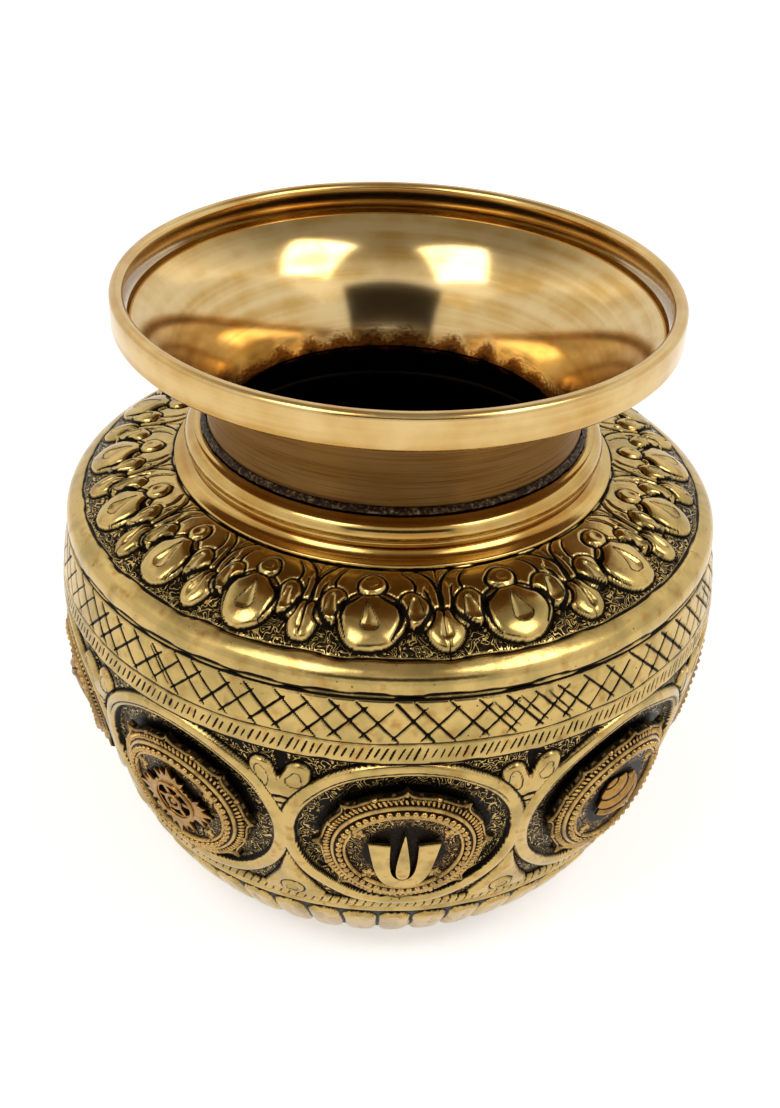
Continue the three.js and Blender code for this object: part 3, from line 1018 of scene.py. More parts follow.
@dataclass
class Shoulder(Band):
    """The shoulder: fans and leaves chased from the collar down to a plain bead."""

    name: str = "shoulder_chased"
    top: float = 0.0
    bottom: float = Wall.rim_down
    rows: int = 74
    nodes: tuple[str, ...] = ("shoulder",)
    bore: float = 36.7
    sheet: float = 2.4
    front_units: tuple[float, ...] = (-91.6, -70.8, -50.3, -30.2, -7.6, 20.1, 47.6, 68.4, 88.9)
    unit_count: int = 16
    scale: float = 0.95
    web_end: float = 12.6
    ground_start: float = 11.0
    bead_line: float = 19.4

    def centres(self) -> Array:
        """Where each fan stands: as unevenly as the smith left them in front.

        Returns:
            The angle of each fan's middle, in degrees.
        """
        front = list(self.front_units)
        left = self.unit_count - len(front)
        step = (360 + front[0] - front[-1]) / (left + 1)
        return np.array(front + [front[-1] + step * (i + 1) for i in range(left)])

    def local(self) -> Array:
        """Each column's place across its own fan.

        Returns:
            Degrees from the fan's middle, where all fans are equally wide.
        """
        centres = self.centres()
        degrees = np.degrees(self.angle[0])
        apart = (degrees[:, None] - centres[None, :] + 180) % 360 - 180
        ahead = (np.roll(centres, -1) - centres) % 360
        behind = np.roll(ahead, 1)
        even = 360 / self.unit_count
        scaled = np.where(apart >= 0, apart * even / ahead, apart * even / behind)
        own = np.argmin(np.abs(scaled), axis=1)
        return scaled[np.arange(len(degrees)), own][None, :]

    def chase(self) -> Relief:
        """Chases the band.

        Returns:
            The relief over its grid.
        """
        s = self.down + waver(self.angle, self.down, 11, 9, 0.16)
        x = self.local() * self.scale + waver(self.angle, self.down, 12, 8, 0.16)
        away = self.scale * 180 / self.unit_count - np.abs(x)
        relief = Relief(x.shape)
        punched = ease(s - self.ground_start) * ease((self.bead_line - s) / 0.5)
        relief.punch(punched, 0.25, 0.75)
        self.web(relief, away, s)
        self.leaf(relief, away, s)
        self.fan(relief, x, s)
        self.edges(relief, s)
        return relief

    def web(self, relief: Relief, away: Array, s: Array) -> None:
        """Chases the plain web high up, with two arches that spring from each leaf's stem.

        Args:
            relief: The relief to work.
            away: Distance across from the middle of the leaf between two fans.
            s: Distance down the wall.
        """
        relief.form(s - self.web_end, 0.0, 0.35, 3.0, 0.2)
        outer = [(0.3, 5.4), (0.5, 3.0), (1.6, 1.2), (3.6, 0.5)]
        relief.cut(stroke(away, s, outer, (0.3, 0.34, 0.16)), 0.35)
        inner = [(5.6, 1.0), (3.2, 2.6), (2.7, 5.6), (5.2, 7.9)]
        relief.cut(stroke(away, s, inner, (0.16, 0.32, 0.3)), 0.35)
        relief.dent(drop(away, s, (1.6, 3.4), (2.3, 7.0), (0.35, 0.6)), 0.25, 0.6, 0.25)

    def leaf(self, relief: Relief, away: Array, s: Array) -> None:
        """Chases the three-part leaf that hangs between two fans.

        Args:
            relief: The relief to work.
            away: Distance across from the middle of the leaf.
            s: Distance down the wall.
        """
        relief.form(oval(away, s, (0, 13.9), (2.7, 4.1)), 0.0, 0.95, 2.4, 0.5)
        relief.form(oval(away, s, (4.0, 9.9), (2.45, 4.0), 8), 0.05, 1.05, 2.2, 0.5)
        relief.dent(drop(away, s, (3.9, 8.3), (4.1, 11.2), (0.7, 1.25)), 0.45, 1.0, 0.8)
        line = [(2.2, 4.6), (0.7, 8.0), (1.8, 12.4), (3.9, 13.6)]
        relief.cut(stroke(away, s, line, (0.16, 0.3, 0.45)), 0.4)
        relief.cut(drop(away, s, (3.9, 13.7), (3.4, 13.2), (0.75, 0.3)), 0.4)
        relief.dent(drop(away, s, (0, 12.2), (0, 15.2), (0.3, 0.9)), 0.3, 0.8, 0.45)
        # the crease down the leaf's middle is cut as a groove, widest halfway, and stained dark:
        # patina in the groove and painted shade of the soft crease
        crease = ease((12.5 - s) / 3.0) * ease(s - 4.8)
        relief.cut(away - 0.1 - 0.38 * crease, 0.4, 0.9)

    def fan(self, relief: Relief, x: Array, s: Array) -> None:
        """Chases the fan with its drop, the horned stroke over it and the knob above.

        Args:
            relief: The relief to work.
            x: Distance to the right of the fan's middle.
            s: Distance down the wall.
        """
        far = np.abs(x)
        relief.form(oval(x, s, (0, 12.2), (5.1, 6.0)), 0.0, 1.25, 4.6, 0.6)
        relief.dent(drop(x, s, (0, 8.8), (0.3, 13.4), (0.15, 1.5)), 0.45, 1.3, 0.8)
        horn = [(0.9, 6.5), (2.0, 8.0), (3.0, 8.8), (4.1, 9.0)]
        relief.cut(stroke(far, s, horn, (0.22, 0.4, 0.75)), 0.45)
        side = [(4.2, 9.2), (5.2, 12.4), (3.4, 16.0)]
        relief.cut(stroke(far, s, side, (0.5, 0.28, 0.14)), 0.35)
        relief.form(oval(x, s, (0, 4.5), (2.3, 2.3)), 0.3, 0.6, 1.0, 0.6)
        relief.dent(oval(x, s, (0, 4.6), (1.1, 1.0)), 0.25, 0.8, 0.4)

    def edges(self, relief: Relief, s: Array) -> None:
        """Leaves the bead plain and chases the lines above and below it, and at the collar.

        Args:
            relief: The relief to work.
            s: Distance down the wall.
        """
        below = ease((s - self.bead_line + 0.3) / 0.5)
        relief.height *= 1 - below
        relief.patina_and_shade *= 1 - below
        relief.ground *= 1 - below
        for line, half, depth in ((self.bead_line, 0.28, 0.35), (25.9, 0.3, 0.4), (0.2, 0.3, 0.3)):
            relief.cut(np.abs(s - line) - half, depth)

    def shell(self) -> Shell:
        """The rings from the bead's root, under the slope and over the seat of the collar.

        Returns:
            No rings before the chased ones, those after them, and no poles.
        """
        down = np.linspace(self.bottom, 2.0, 6)[:, None]
        radius, height = self.wall.at(down)
        outward, upward = self.wall.out(down)
        top = self.wall.at(np.array([0.0]))[1][0]
        under = self.turned(radius - self.sheet * outward, height - self.sheet * upward)
        seat = self.turned(np.full((2, 1), self.bore), np.array([[top - self.sheet], [top]]))
        return under[:0], np.concatenate([under, seat]), ()


@dataclass
class HatchedBand(Band):
    """Crossed engraved strokes round the top of the bowl, over a border of slanting ticks."""

    name: str = "bowl_hatched_band"
    top: float = 26.6
    bottom: float = 40.3
    columns: int = 1600
    rows: int = 46
    stroke_count: int = 80
    tick_count: int = 296
    border: float = 35.7
    stroke_depth: float = 0.28

    def strokes(
        self, relief: Relief, count: int, lean: float, span: Floats, seed: int, half: float
    ) -> None:
        """Engraves one family of slanting strokes.

        Args:
            relief: The relief to cut.
            count: How many go round the pot.
            lean: How far a stroke runs to the right as it goes down, per millimetre.
            span: Where strokes start and end, down the wall.
            seed: The hand's unevenness.
            half: Their half width.
        """
        dice = np.random.default_rng(seed)
        pitch = 2 * math.pi / count
        middle = (span[0] + span[1]) / 2
        turn = self.angle - lean * (self.down - middle) / self.radius
        which = np.rint(turn / pitch).astype(int)
        index = which % count
        shift = dice.normal(0, 0.07, count)[index] * pitch
        tilt = dice.normal(0, 0.05, count)[index]
        starts = span[0] + np.abs(dice.normal(0, 0.3, count))[index]
        ends = span[1] - np.abs(dice.normal(0, 0.3, count))[index]
        aside = (turn - which * pitch - shift) * self.radius + tilt * (self.down - middle)
        taper = ease((self.down - starts) / 0.7) * ease((ends - self.down) / 0.9)
        width = half * dice.uniform(0.8, 1.25, count)[index] * (0.35 + 0.65 * taper)
        distance = np.abs(aside) / math.hypot(1, lean) - width
        inside = ease(0.5 - distance / 0.22) * ease(taper * 5)
        relief.engrave(inside, self.stroke_depth)

    def chase(self) -> Relief:
        """Chases the band.

        Returns:
            The relief over its grid.
        """
        relief = Relief((self.rows + 1, self.columns))
        border = self.border
        self.strokes(relief, self.stroke_count, 0.96, (26.9, border), 3, 0.27)
        self.strokes(relief, self.stroke_count, -1.0, (27.9, border - 0.3), 4, 0.24)
        self.strokes(relief, self.tick_count, -0.45, (border + 0.5, 39.5), 5, 0.2)
        self.doubled(relief)
        wander = waver(self.angle, self.down, 21, 20, 0.14)
        relief.cut(np.abs(self.down - border - wander) - 0.2, 0.25, 0.8)
        thick = 0.3 + waver(self.angle, self.down, 22, 6, 0.08)
        relief.cut(np.abs(self.down - 40.1 - wander * 0.6) - thick, 0.3)
        relief.cut(np.abs(self.down - 26.7) - 0.3, 0.4)
        relief.wash(ease((waver(self.angle, self.down, 23, 5, 1.0) - 0.6) / 1.2), 0.4)
        return relief

    def doubled(self, relief: Relief) -> None:
        """Engraves the few strokes that the smith went over twice.

        Args:
            relief: The relief to cut.
        """
        degrees = np.degrees((self.angle + math.pi) % (2 * math.pi) - math.pi)
        for start in (12.6, 17.2, 21.6, 63.0, -44.0):
            x = (degrees - start) * math.pi / 180 * self.radius
            line = stroke(x, self.down, [(0, 28.2), (2.6, 31.2), (5.4, 34.2)], (0.1, 0.25, 0.1))
            relief.cut(line, self.stroke_depth)


@dataclass
class Belt(Band):
    """The belly: nine sunk roundels in raised frames, with buds and leaves between them."""

    columns: int = 1280
    roundel_count: int = 9
    centre_height: float = 45.6
    half_width: float = 21.0
    half_height: float = 19.5
    frame_width: float = 3.0
    frame_proud: float = 0.9
    ground_depth: float = 1.2

    @property
    def plain(self) -> float:
        """The level of the wall outside the frames."""
        return -self.frame_proud

    def chase(self) -> Relief:
        """Chases the band.

        Returns:
            The relief over its grid.
        """
        pitch = 2 * math.pi / self.roundel_count
        turn = (self.angle + pitch / 2) % pitch - pitch / 2
        scale = float(self.wall.at(np.array([self.wall.down_at(self.centre_height)]))[0][0])
        s = self.down + waver(self.angle, self.down, 31, 12, 0.12)
        x = turn * scale + waver(self.angle, self.down, 32, 12, 0.12)
        y = self.level - self.centre_height + waver(self.angle, self.down, 33, 14, 0.12)
        relief = Relief(np.broadcast(x, s).shape, self.plain)
        # how far a point lies to the right of the middle between two roundels
        aside = (self.angle % pitch - pitch / 2) * scale
        aside = aside + waver(self.angle, self.down, 34, 9, 0.15)
        # punched ground above, below and between the roundels
        relief.punch(ease((s - 39.8) / 0.5) * ease((86 - s) / 0.5), 0.3, 0.9)
        self.bud(relief, aside, s)
        self.leaf(relief, aside, s)
        opening = oval(x, y, (0, 0), (self.half_width, self.half_height))
        self.frame(relief, opening, y)
        self.matted(relief, opening, y)
        return relief

    def frame(self, relief: Relief, opening: Array, y: Array) -> None:
        """Raises the frame round a roundel, with a stroke outside it and two along its top.

        Args:
            relief: The relief to work.
            opening: Distance out from the edge of the sunk roundel.
            y: Height over the middle of the roundel.
        """
        outside = opening - self.frame_width
        inside = ease(0.5 - outside / 0.3)
        share = np.clip((opening + 0.2) / (self.frame_width + 0.2), 0, 1)
        arch = np.sqrt(np.clip(1 - (2 * share - 1) ** 2, 0, 1))
        crown = self.plain + self.frame_proud * arch
        relief.height = blend(relief.height, crown, inside)
        relief.patina_and_shade *= 1 - inside
        relief.ground *= 1 - inside
        relief.cut(np.abs(outside - 0.12) - 0.26, 0.35)
        upper = ease((y - 8.0) / 4.0)
        relief.cut(np.abs(opening - 0.85) + 0.2 * (1 - upper) - 0.2, 0.2, 0.85)

    def matted(self, relief: Relief, opening: Array, y: Array) -> None:
        """Sinks the roundel's ground and mats it, darker towards its middle and in its upper half.

        Args:
            relief: The relief to work.
            opening: Distance out from the edge of the sunk roundel.
            y: Height over the middle of the roundel.
        """
        sunk = ease(0.5 - (opening + 0.35) / 0.7)
        relief.height = blend(relief.height, self.plain - self.ground_depth, sunk)
        relief.patina_and_shade *= 1 - sunk
        # darker round the medallion towards the middle, and twice as dark in the upper half as in
        # the lower
        upper = 0.5 + 0.5 * ease((y + 2.0) / 6.0)
        dark = 0.65 * ease((-opening - 1.8) / 3.2) * upper
        relief.ground = blend(relief.ground, 1.0, sunk)
        relief.wash(sunk * dark, 1.6)
        relief.cut(np.abs(opening + 0.2) - 0.24, 0.05)

    def bud(self, relief: Relief, aside: Array, s: Array) -> None:
        """Chases the two-lobed bud between two roundels, whose lobes lean apart.

        Args:
            relief: The relief to work.
            aside: Distance to the right of the middle of the bud.
            s: Distance down the wall.
        """
        away = np.abs(aside)
        left = drop(aside, s, (-3.6, 45.6), (-2.3, 51.5), (2.3, 3.4))
        right = drop(aside, s, (3.5, 45.0), (2.2, 51.5), (2.3, 3.4))
        stem = drop(away, s, (0, 52.0), (0, 66.0), (4.4, 0.5))
        relief.form(np.minimum(np.minimum(left, right), stem), self.plain, 0.8, 2.2, 0.5)
        relief.cut(drop(aside, s, (0.1, 42.0), (0, 47.2), (1.3, 0.2)), 0.5)
        relief.dent(oval(aside, s, (-3.3, 47.2), (1.2, 2.7), -14), 0.4, 1.0, 0.8)
        relief.dent(drop(aside, s, (3.3, 45.2), (2.9, 47.2), (0.7, 1.5)), 0.4, 1.0, 0.8)
        for start, half, width in ((52.0, 2.5, 0.42), (53.8, 2.2, 0.36)):
            bow = [(0, start), (half * 0.6, start), (half, start + 1.2)]
            relief.cut(stroke(away, s, bow, (width, width, 0.12)), 0.35)
        relief.cut(stroke(away, s, [(0.1, 62.0), (0, 64.5), (0.1, 67.0)], (0.1, 0.3, 0.2)), 0.3)

    def leaf(self, relief: Relief, aside: Array, s: Array) -> None:
        """Chases the bell-shaped leaf between two roundels, below their middles.

        Args:
            relief: The relief to work.
            aside: Distance to the right of the middle of the leaf.
            s: Distance down the wall.
        """
        away = np.abs(aside)
        edge = np.interp(s, [69, 72, 75, 78, 81, 84.5], [0.4, 0.8, 1.6, 2.9, 4.6, 7.2])
        bell = np.maximum((away - edge) * 0.85, 68.6 - s)
        relief.form(bell, self.plain, 0.75, 1.5, 0.5)
        relief.form(oval(aside, s, (0, 82.8), (2.5, 2.3)), self.plain + 0.5, 0.5, 0.8, 0.4)
        relief.dent(oval(aside, s, (0, 82.8), (1.3, 1.2)), 0.4, 0.7, 0.7)


@dataclass
class RopeBorder(Band):
    """A twisted rope and a plain cord under the roundels."""

    name: str = "bowl_rope_border"
    top: float = 85.2
    bottom: float = 91.0
    columns: int = 1120
    rows: int = 20
    strand_count: int = 220
    inner: float = 3.0
    root: float = -0.9
    rope_line: float = 86.6
    cord_line: float = 89.4
    twist_depth: float = 0.3

    def chase(self) -> Relief:
        """Chases the band.

        Returns:
            The relief over its grid.
        """
        relief = Relief((self.rows + 1, self.columns), self.root)
        s = self.down + waver(self.angle, self.down, 41, 16, 0.1)
        relief.form(np.abs(s - self.rope_line) - 1.2, self.root, 0.8, 1.2, 0.3)
        relief.form(np.abs(s - self.cord_line) - 0.95, self.root, 0.6, 0.95, 0.3)
        pitch = 2 * math.pi / self.strand_count
        turn = self.angle + (s - self.rope_line) * 0.45 / self.radius
        aside = np.abs((turn / pitch + 0.5) % 1 - 0.5) * pitch * self.radius
        inside = ease(0.5 - (aside - 0.16) / 0.25) * (np.abs(s - self.rope_line) < 1.25)
        relief.engrave(inside, self.twist_depth)
        relief.wash(np.ones_like(s), 0.12)
        return relief


@dataclass
class LotusSkirt(Band):
    """The ring of lotus petals that narrows to the foot, and the bottom of the pot."""

    name: str = "bowl_lotus_skirt"
    top: float = RopeBorder.bottom
    bottom: float = 114.0
    columns: int = 960
    petal_count: int = 48
    petal_top: float = 92.0
    root: float = -0.9
    sheet: float = 2.4
    inner: float = 3.0
    floor_radius: float = 20.0
    # painted shade: black on the floor and inner wall inside the pot, lighter under the foot
    inner_tarnish_and_shade: tuple[float, float] = (0.95, 0.2)
    sharp_rows: tuple[int, ...] = (0,)

    def chase(self) -> Relief:
        """Chases the band.

        Returns:
            The relief over its grid.
        """
        pitch = 2 * math.pi / self.petal_count
        turn = (self.angle + pitch / 2) % pitch - pitch / 2
        s = self.down + waver(self.angle, self.down, 51, 10, 0.15)
        x = turn * self.radius + waver(self.angle, self.down, 52, 9, 0.12)
        half = pitch / 2 * self.radius
        relief = Relief(np.broadcast(x, s).shape, self.root)
        relief.wash(s < 113, 1.0)
        rise = np.clip((s - self.petal_top) / 3.0, 0, 1)
        lift = np.sqrt(rise * (2 - rise))
        taper = 1 - 0.25 * ease((s - 104) / 6)
        distance = (np.abs(x) - (half * 0.9) * lift * taper) * 0.95
        relief.form(distance, self.root, 0.9, 1.8, 0.3)
        relief.dent(drop(x, s, (0, 94.0), (0, 103.0), (0.9, 0.3)), 0.22, 0.9, 0.0)
        foot = ease((s - 111.0) / 0.8)
        relief.height = blend(relief.height, -0.2, foot)
        relief.patina_and_shade = np.maximum(relief.patina_and_shade * (1 - foot), 0.35 * foot)
        return relief

    def shell(self) -> Shell:
        """The rings of the floor and the inner wall, then those of the foot's underside.

        Returns:
            The rings before the chased ones, those after them, and the two poles.
        """
        edge, low = self.wall.foot_radius, self.floor_radius
        floor = self.turned(np.array([[low], [edge - self.sheet]]), np.full((2, 1), self.sheet))
        down = np.linspace(110.0, self.top, 6)[:, None]
        radius, level = self.wall.at(down)
        wall = self.turned(radius - self.inner, np.maximum(level, self.sheet))
        under = self.turned(np.array([[edge - 0.6], [edge - 6], [low]]), np.zeros((3, 1)))
        return np.concatenate([floor, wall]), under, [(0, 0, self.sheet), (0, 0, 0)]


# Geometry node trees


class Tree:
    """A geometry node tree in the making, with named inputs."""

    def __init__(self, name: str, sockets: dict[str, str]) -> None:
        """Starts a tree.

        Args:
            name: The tree's name.
            sockets: The type of each input after the geometry, by its name.
        """
        self.tree = bpy.data.node_groups.new(name, "GeometryNodeTree")
        face = self.tree.interface
        face.new_socket("Geometry", in_out="INPUT", socket_type="NodeSocketGeometry")
        for label, kind in sockets.items():
            face.new_socket(label, in_out="INPUT", socket_type=f"NodeSocket{kind}")
        face.new_socket("Geometry", in_out="OUTPUT", socket_type="NodeSocketGeometry")
        self.entry = self.tree.nodes.new("NodeGroupInput")

    def get(self, label: str) -> NodeSocket:
        """The named input, for links."""
        return self.entry.outputs[label]

    def add(self, kind: str, inputs: dict[int | str, Any] | None = None, **settings: Any) -> Node:
        """Adds a node to this tree."""
        return add_node(self.tree, kind, inputs, **settings)

    def finish(self, geometry: Node) -> NodeTree:
        """Ends the tree with real geometry in its material.

        Args:
            geometry: The node whose geometry comes out.

        Returns:
            The tree.
        """
        real = self.add("GeometryNodeRealizeInstances", {0: geometry})
        dressed = self.add(
            "GeometryNodeSetMaterial", {"Geometry": real, "Material": self.get("Material")}
        )
        self.add("NodeGroupOutput", {0: dressed})
        return self.tree


def grow(name: str, start: Mesh, tree: NodeTree, values: dict[str, Any]) -> Mesh:
    """Runs a geometry node tree on a mesh and keeps the plain result.

    Args:
        name: The name of the new mesh.
        start: What goes into the tree.
        tree: The tree.
        values: Its inputs, by name.

    Returns:
        The mesh that comes out.
    """
    holder = add_object(f"{name}_maker", start)
    modifier = holder.modifiers.new("maker", "NODES")
    modifier.node_group = tree
    for item in tree.interface.items_tree:
        if item.in_out == "INPUT" and item.name in values:
            modifier[item.identifier] = values[item.name]
    graph = bpy.context.evaluated_depsgraph_get()
    result = bpy.data.meshes.new_from_object(holder.evaluated_get(graph))
    result.name = name
    holder.modifiers.remove(modifier)
    bpy.data.objects.remove(holder)
    return result


def lathe_tree() -> NodeTree:
    """A tree that turns an outline about Z into a ring, with an optional waver.

    Returns:
        The tree. Its geometry input holds the outline's points in order, in the XZ plane, with
        the last on the first.
    """
    made = bpy.data.node_groups.get("turn_outline")
    if made:
        return made
    sizes = {
        "Points": "Int",
        "Segments": "Int",
        "Waver": "Float",
        "Waves": "Float",
        "Seed": "Float",
        "Material": "Material",
    }
    t = Tree("turn_outline", sizes)
    wide = t.add("ShaderNodeMath", {0: t.get("Segments"), 1: 1.0}, operation="ADD")
    tall = t.add("ShaderNodeMath", {0: t.get("Points"), 1: 1.0}, operation="SUBTRACT")
    size = {"Size X": t.get("Segments"), "Size Y": tall}
    grid = t.add(
        "GeometryNodeMeshGrid", {**size, "Vertices X": wide, "Vertices Y": t.get("Points")}
    )
    spot = t.add("GeometryNodeInputPosition")
    apart = t.add("ShaderNodeSeparateXYZ", {0: spot})
    half_x = t.add("ShaderNodeMath", {0: t.get("Segments"), 1: 0.5}, operation="MULTIPLY")
    half_y = t.add("ShaderNodeMath", {0: tall, 1: 0.5}, operation="MULTIPLY")
    column = t.add("ShaderNodeMath", {0: apart.outputs["X"], 1: half_x}, operation="ADD")
    row = t.add("ShaderNodeMath", {0: apart.outputs["Y"], 1: half_y}, operation="ADD")
    whole = t.add("ShaderNodeMath", {0: row}, operation="ROUND")
    share = t.add("ShaderNodeMath", {0: column, 1: t.get("Segments")}, operation="DIVIDE")
    turn = t.add("ShaderNodeMath", {0: share, 1: 2 * math.pi}, operation="MULTIPLY")
    outline = t.add("GeometryNodeInputPosition")
    sample = t.add(
        "GeometryNodeSampleIndex",
        {"Geometry": t.get("Geometry"), "Value": outline, "Index": whole},
        data_type="FLOAT_VECTOR",
        domain="POINT",
    )
    drawn = t.add("ShaderNodeSeparateXYZ", {0: sample})
    sine = t.add("ShaderNodeMath", {0: turn}, operation="SINE")
    cosine = t.add("ShaderNodeMath", {0: turn}, operation="COSINE")
    away = t.add("ShaderNodeMath", {0: cosine, 1: -1.0}, operation="MULTIPLY")
    way = t.add("ShaderNodeCombineXYZ", {"X": sine, "Y": away, "Z": 0.0})
    flat = t.add("ShaderNodeVectorMath", {0: way, "Scale": drawn.outputs["X"]}, operation="SCALE")
    lift = t.add("ShaderNodeCombineXYZ", {"X": 0.0, "Y": 0.0, "Z": drawn.outputs["Z"]})
    point = t.add("ShaderNodeVectorMath", {0: flat, 1: lift}, operation="ADD")
    noise = t.add(
        "ShaderNodeTexNoise",
        {"Vector": point, "W": t.get("Seed"), "Scale": t.get("Waves"), "Detail": 3.0},
        noise_dimensions="4D",
    )
    signed = t.add("ShaderNodeMath", {0: noise, 1: 0.5}, operation="SUBTRACT")
    sized = t.add("ShaderNodeMath", {0: signed, 1: t.get("Waver")}, operation="MULTIPLY")
    push = t.add("ShaderNodeVectorMath", {0: way, "Scale": sized.outputs[0]}, operation="SCALE")
    moved = t.add("ShaderNodeVectorMath", {0: point, 1: push}, operation="ADD")
    bent = t.add("GeometryNodeSetPosition", {"Geometry": grid, "Position": moved})
    joined = t.add("GeometryNodeMergeByDistance", {"Geometry": bent, "Distance": 1e-6})
    smooth = t.add("GeometryNodeSetShadeSmooth", {"Geometry": joined})
    return t.finish(smooth)


def medallion_tree() -> NodeTree:
    """A tree that adds two rings to a medallion's disc: round beads, and slanting rope strands.

    Returns:
        The tree.
    """
    made = bpy.data.node_groups.get("medallion_rings")
    if made:
        return made
    sizes = {
        "Beads": "Int",
        "Bead Ring": "Float",
        "Bead Height": "Float",
        "Bead Size": "Float",
        "Strands": "Int",
        "Strand Ring": "Float",
        "Strand Height": "Float",
        "Strand Size": "Vector",
        "Strand Lean": "Float",
        "Seed": "Int",
        "Material": "Material",
    }
    t = Tree("medallion_rings", sizes)
    ball = t.add("GeometryNodeMeshIcoSphere", {"Radius": 1.0, "Subdivisions": 2})
    rings = []
    for label, count, size in (("Bead", "Beads", None), ("Strand", "Strands", "Strand Size")):
        circle = t.add(
            "GeometryNodeMeshCircle", {"Vertices": t.get(count), "Radius": t.get(f"{label} Ring")}
        )
        spot = t.add("ShaderNodeCombineXYZ", {"Z": t.get(f"{label} Height")})
        lifted = t.add("GeometryNodeSetPosition", {"Geometry": circle, "Offset": spot})
        index = t.add("GeometryNodeInputIndex")
        share = t.add("ShaderNodeMath", {0: index, 1: t.get(count)}, operation="DIVIDE")
        turn = t.add("ShaderNodeMath", {0: share, 1: 2 * math.pi}, operation="MULTIPLY")
        lean = t.get("Strand Lean") if size else 0.0
        leant = t.add("ShaderNodeMath", {0: turn, 1: lean}, operation="ADD")
        facing = t.add("ShaderNodeCombineXYZ", {"Z": leant})
        uneven = t.add(
            "FunctionNodeRandomValue",
            {"Min": 0.86, "Max": 1.1, "Seed": t.get("Seed")},
            data_type="FLOAT",
        )
        if size:
            scale = t.add(
                "ShaderNodeVectorMath", {0: t.get(size), "Scale": uneven}, operation="SCALE"
            )
        else:
            scale = t.add(
                "ShaderNodeMath", {0: uneven, 1: t.get("Bead Size")}, operation="MULTIPLY"
            )
        rings.append(
            t.add(
                "GeometryNodeInstanceOnPoints",
                {"Points": lifted, "Instance": ball, "Rotation": facing, "Scale": scale},
            )
        )
    joined = t.add("GeometryNodeJoinGeometry")
    for ring in rings:
        t.tree.links.new(ring.outputs[0], joined.inputs[0])
    real = t.add("GeometryNodeRealizeInstances", {0: joined})
    smooth = t.add("GeometryNodeSetShadeSmooth", {"Geometry": real})
    whole = t.add("GeometryNodeJoinGeometry")
    for part in (smooth.outputs[0], t.get("Geometry")):
        t.tree.links.new(part, whole.inputs[0])
    return t.finish(whole)


# Turned pieces


@dataclass
class Corner:
    """A corner of a turned outline, eased by an arc."""

    radius: float
    height: float
    easing: float = 0.0


def eased_outline(corners: Sequence[Corner], steps: int = 4) -> Array:
    """The closed outline through corners, with each corner rounded.

    Args:
        corners: The corners in order.
        steps: How many steps each rounding takes.

    Returns:
        Points as radius and height, the last on the first.
    """
    spots = np.array([(c.radius, c.height) for c in corners])
    points: list[Array] = []
    for i, corner in enumerate(corners):
        here, before, after = spots[i], spots[i - 1], spots[(i + 1) % len(spots)]
        if corner.easing <= 0:
            points.append(here)
            continue
        back, on = before - here, after - here
        reach_back = min(corner.easing, np.hypot(*back) * 0.45)
        reach_on = min(corner.easing, np.hypot(*on) * 0.45)
        start = here + back / np.hypot(*back) * reach_back
        end = here + on / np.hypot(*on) * reach_on
        points.extend(bezier([start, here, end], steps))
    points.append(points[0])
    return np.array(points)


@dataclass
class TurnedPiece:
    """A ring turned on a lathe from one outline."""

    name: str
    node: str
    finish: Finish
    corners: Sequence[Floats]
    segments: int = 256
    waver: float = 0.0
    waves: float = 0.0
    seed: float = 1.0
    bore: float = 0.0
    # how the inside darkens downwards: the height where it starts and over what distance; amber
    # tarnish at the top, painted shade deeper down
    inner_tarnish_and_shade: tuple[float, float] = (0.0, 0.0)
    satin: tuple[float, float] = (0.0, 0.0)

    def weather(self, mesh: Mesh) -> None:
        """Marks the bore, tarnished at its top and in painted shade deeper down, and the turned
        outside that was left satin.

        Args:
            mesh: The turned mesh.
        """
        spots = read(mesh.vertices, "co") / MM
        radius, height = np.hypot(spots[:, 0], spots[:, 1]), spots[:, 2]
        turn = np.arctan2(spots[:, 0], -spots[:, 1])
        faces = read(mesh.vertices, "normal")
        outside = faces[:, 0] * spots[:, 0] + faces[:, 1] * spots[:, 1] > 0
        within = (radius < self.bore) & ~outside
        top, reach = self.inner_tarnish_and_shade
        uneven = height + waver(turn, 0 * turn, 61, 14, 0.9)
        # amber tarnish at the top of the bore, black painted shade deeper down
        bore_tarnish_and_shade = within * ease((top - uneven) / max(reach, 1e-6))
        low, high = self.satin
        store(mesh, "patina_and_shade", bore_tarnish_and_shade)
        store(mesh, "satin", (outside & (height >= low) & (height <= high)) * 1.0)

    def build(self) -> None:
        """Turns the outline and puts the piece in the scene."""
        outline = eased_outline([Corner(*corner) for corner in self.corners])
        mesh = bpy.data.meshes.new(f"{self.name}_outline")
        mesh.from_pydata([(r * MM, 0, z * MM) for r, z in outline], [], [])
        values = {
            "Points": len(outline),
            "Segments": self.segments,
            "Waver": self.waver * MM,
            "Waves": self.waves,
            "Seed": self.seed,
            "Material": self.finish.material(),
        }
        turned = grow(self.name, mesh, lathe_tree(), values)
        face_outwards(turned)
        self.weather(turned)
        place(self.name, turned, self.finish.material(), self.finish.slot, (self.node,))


def face_outwards(mesh: Mesh) -> None:
    """Turns a closed mesh's faces outwards where its volume comes out negative.

    Args:
        mesh: The mesh.
    """
    mesh.calc_loop_triangles()
    corners = read(mesh.loop_triangles, "vertices", 3, np.int32)
    spots = read(mesh.vertices, "co")
    a, b, c = (spots[corners[:, i]] for i in range(3))
    if np.sum(np.cross(a, b) * c) < 0:
        mesh.flip_normals()


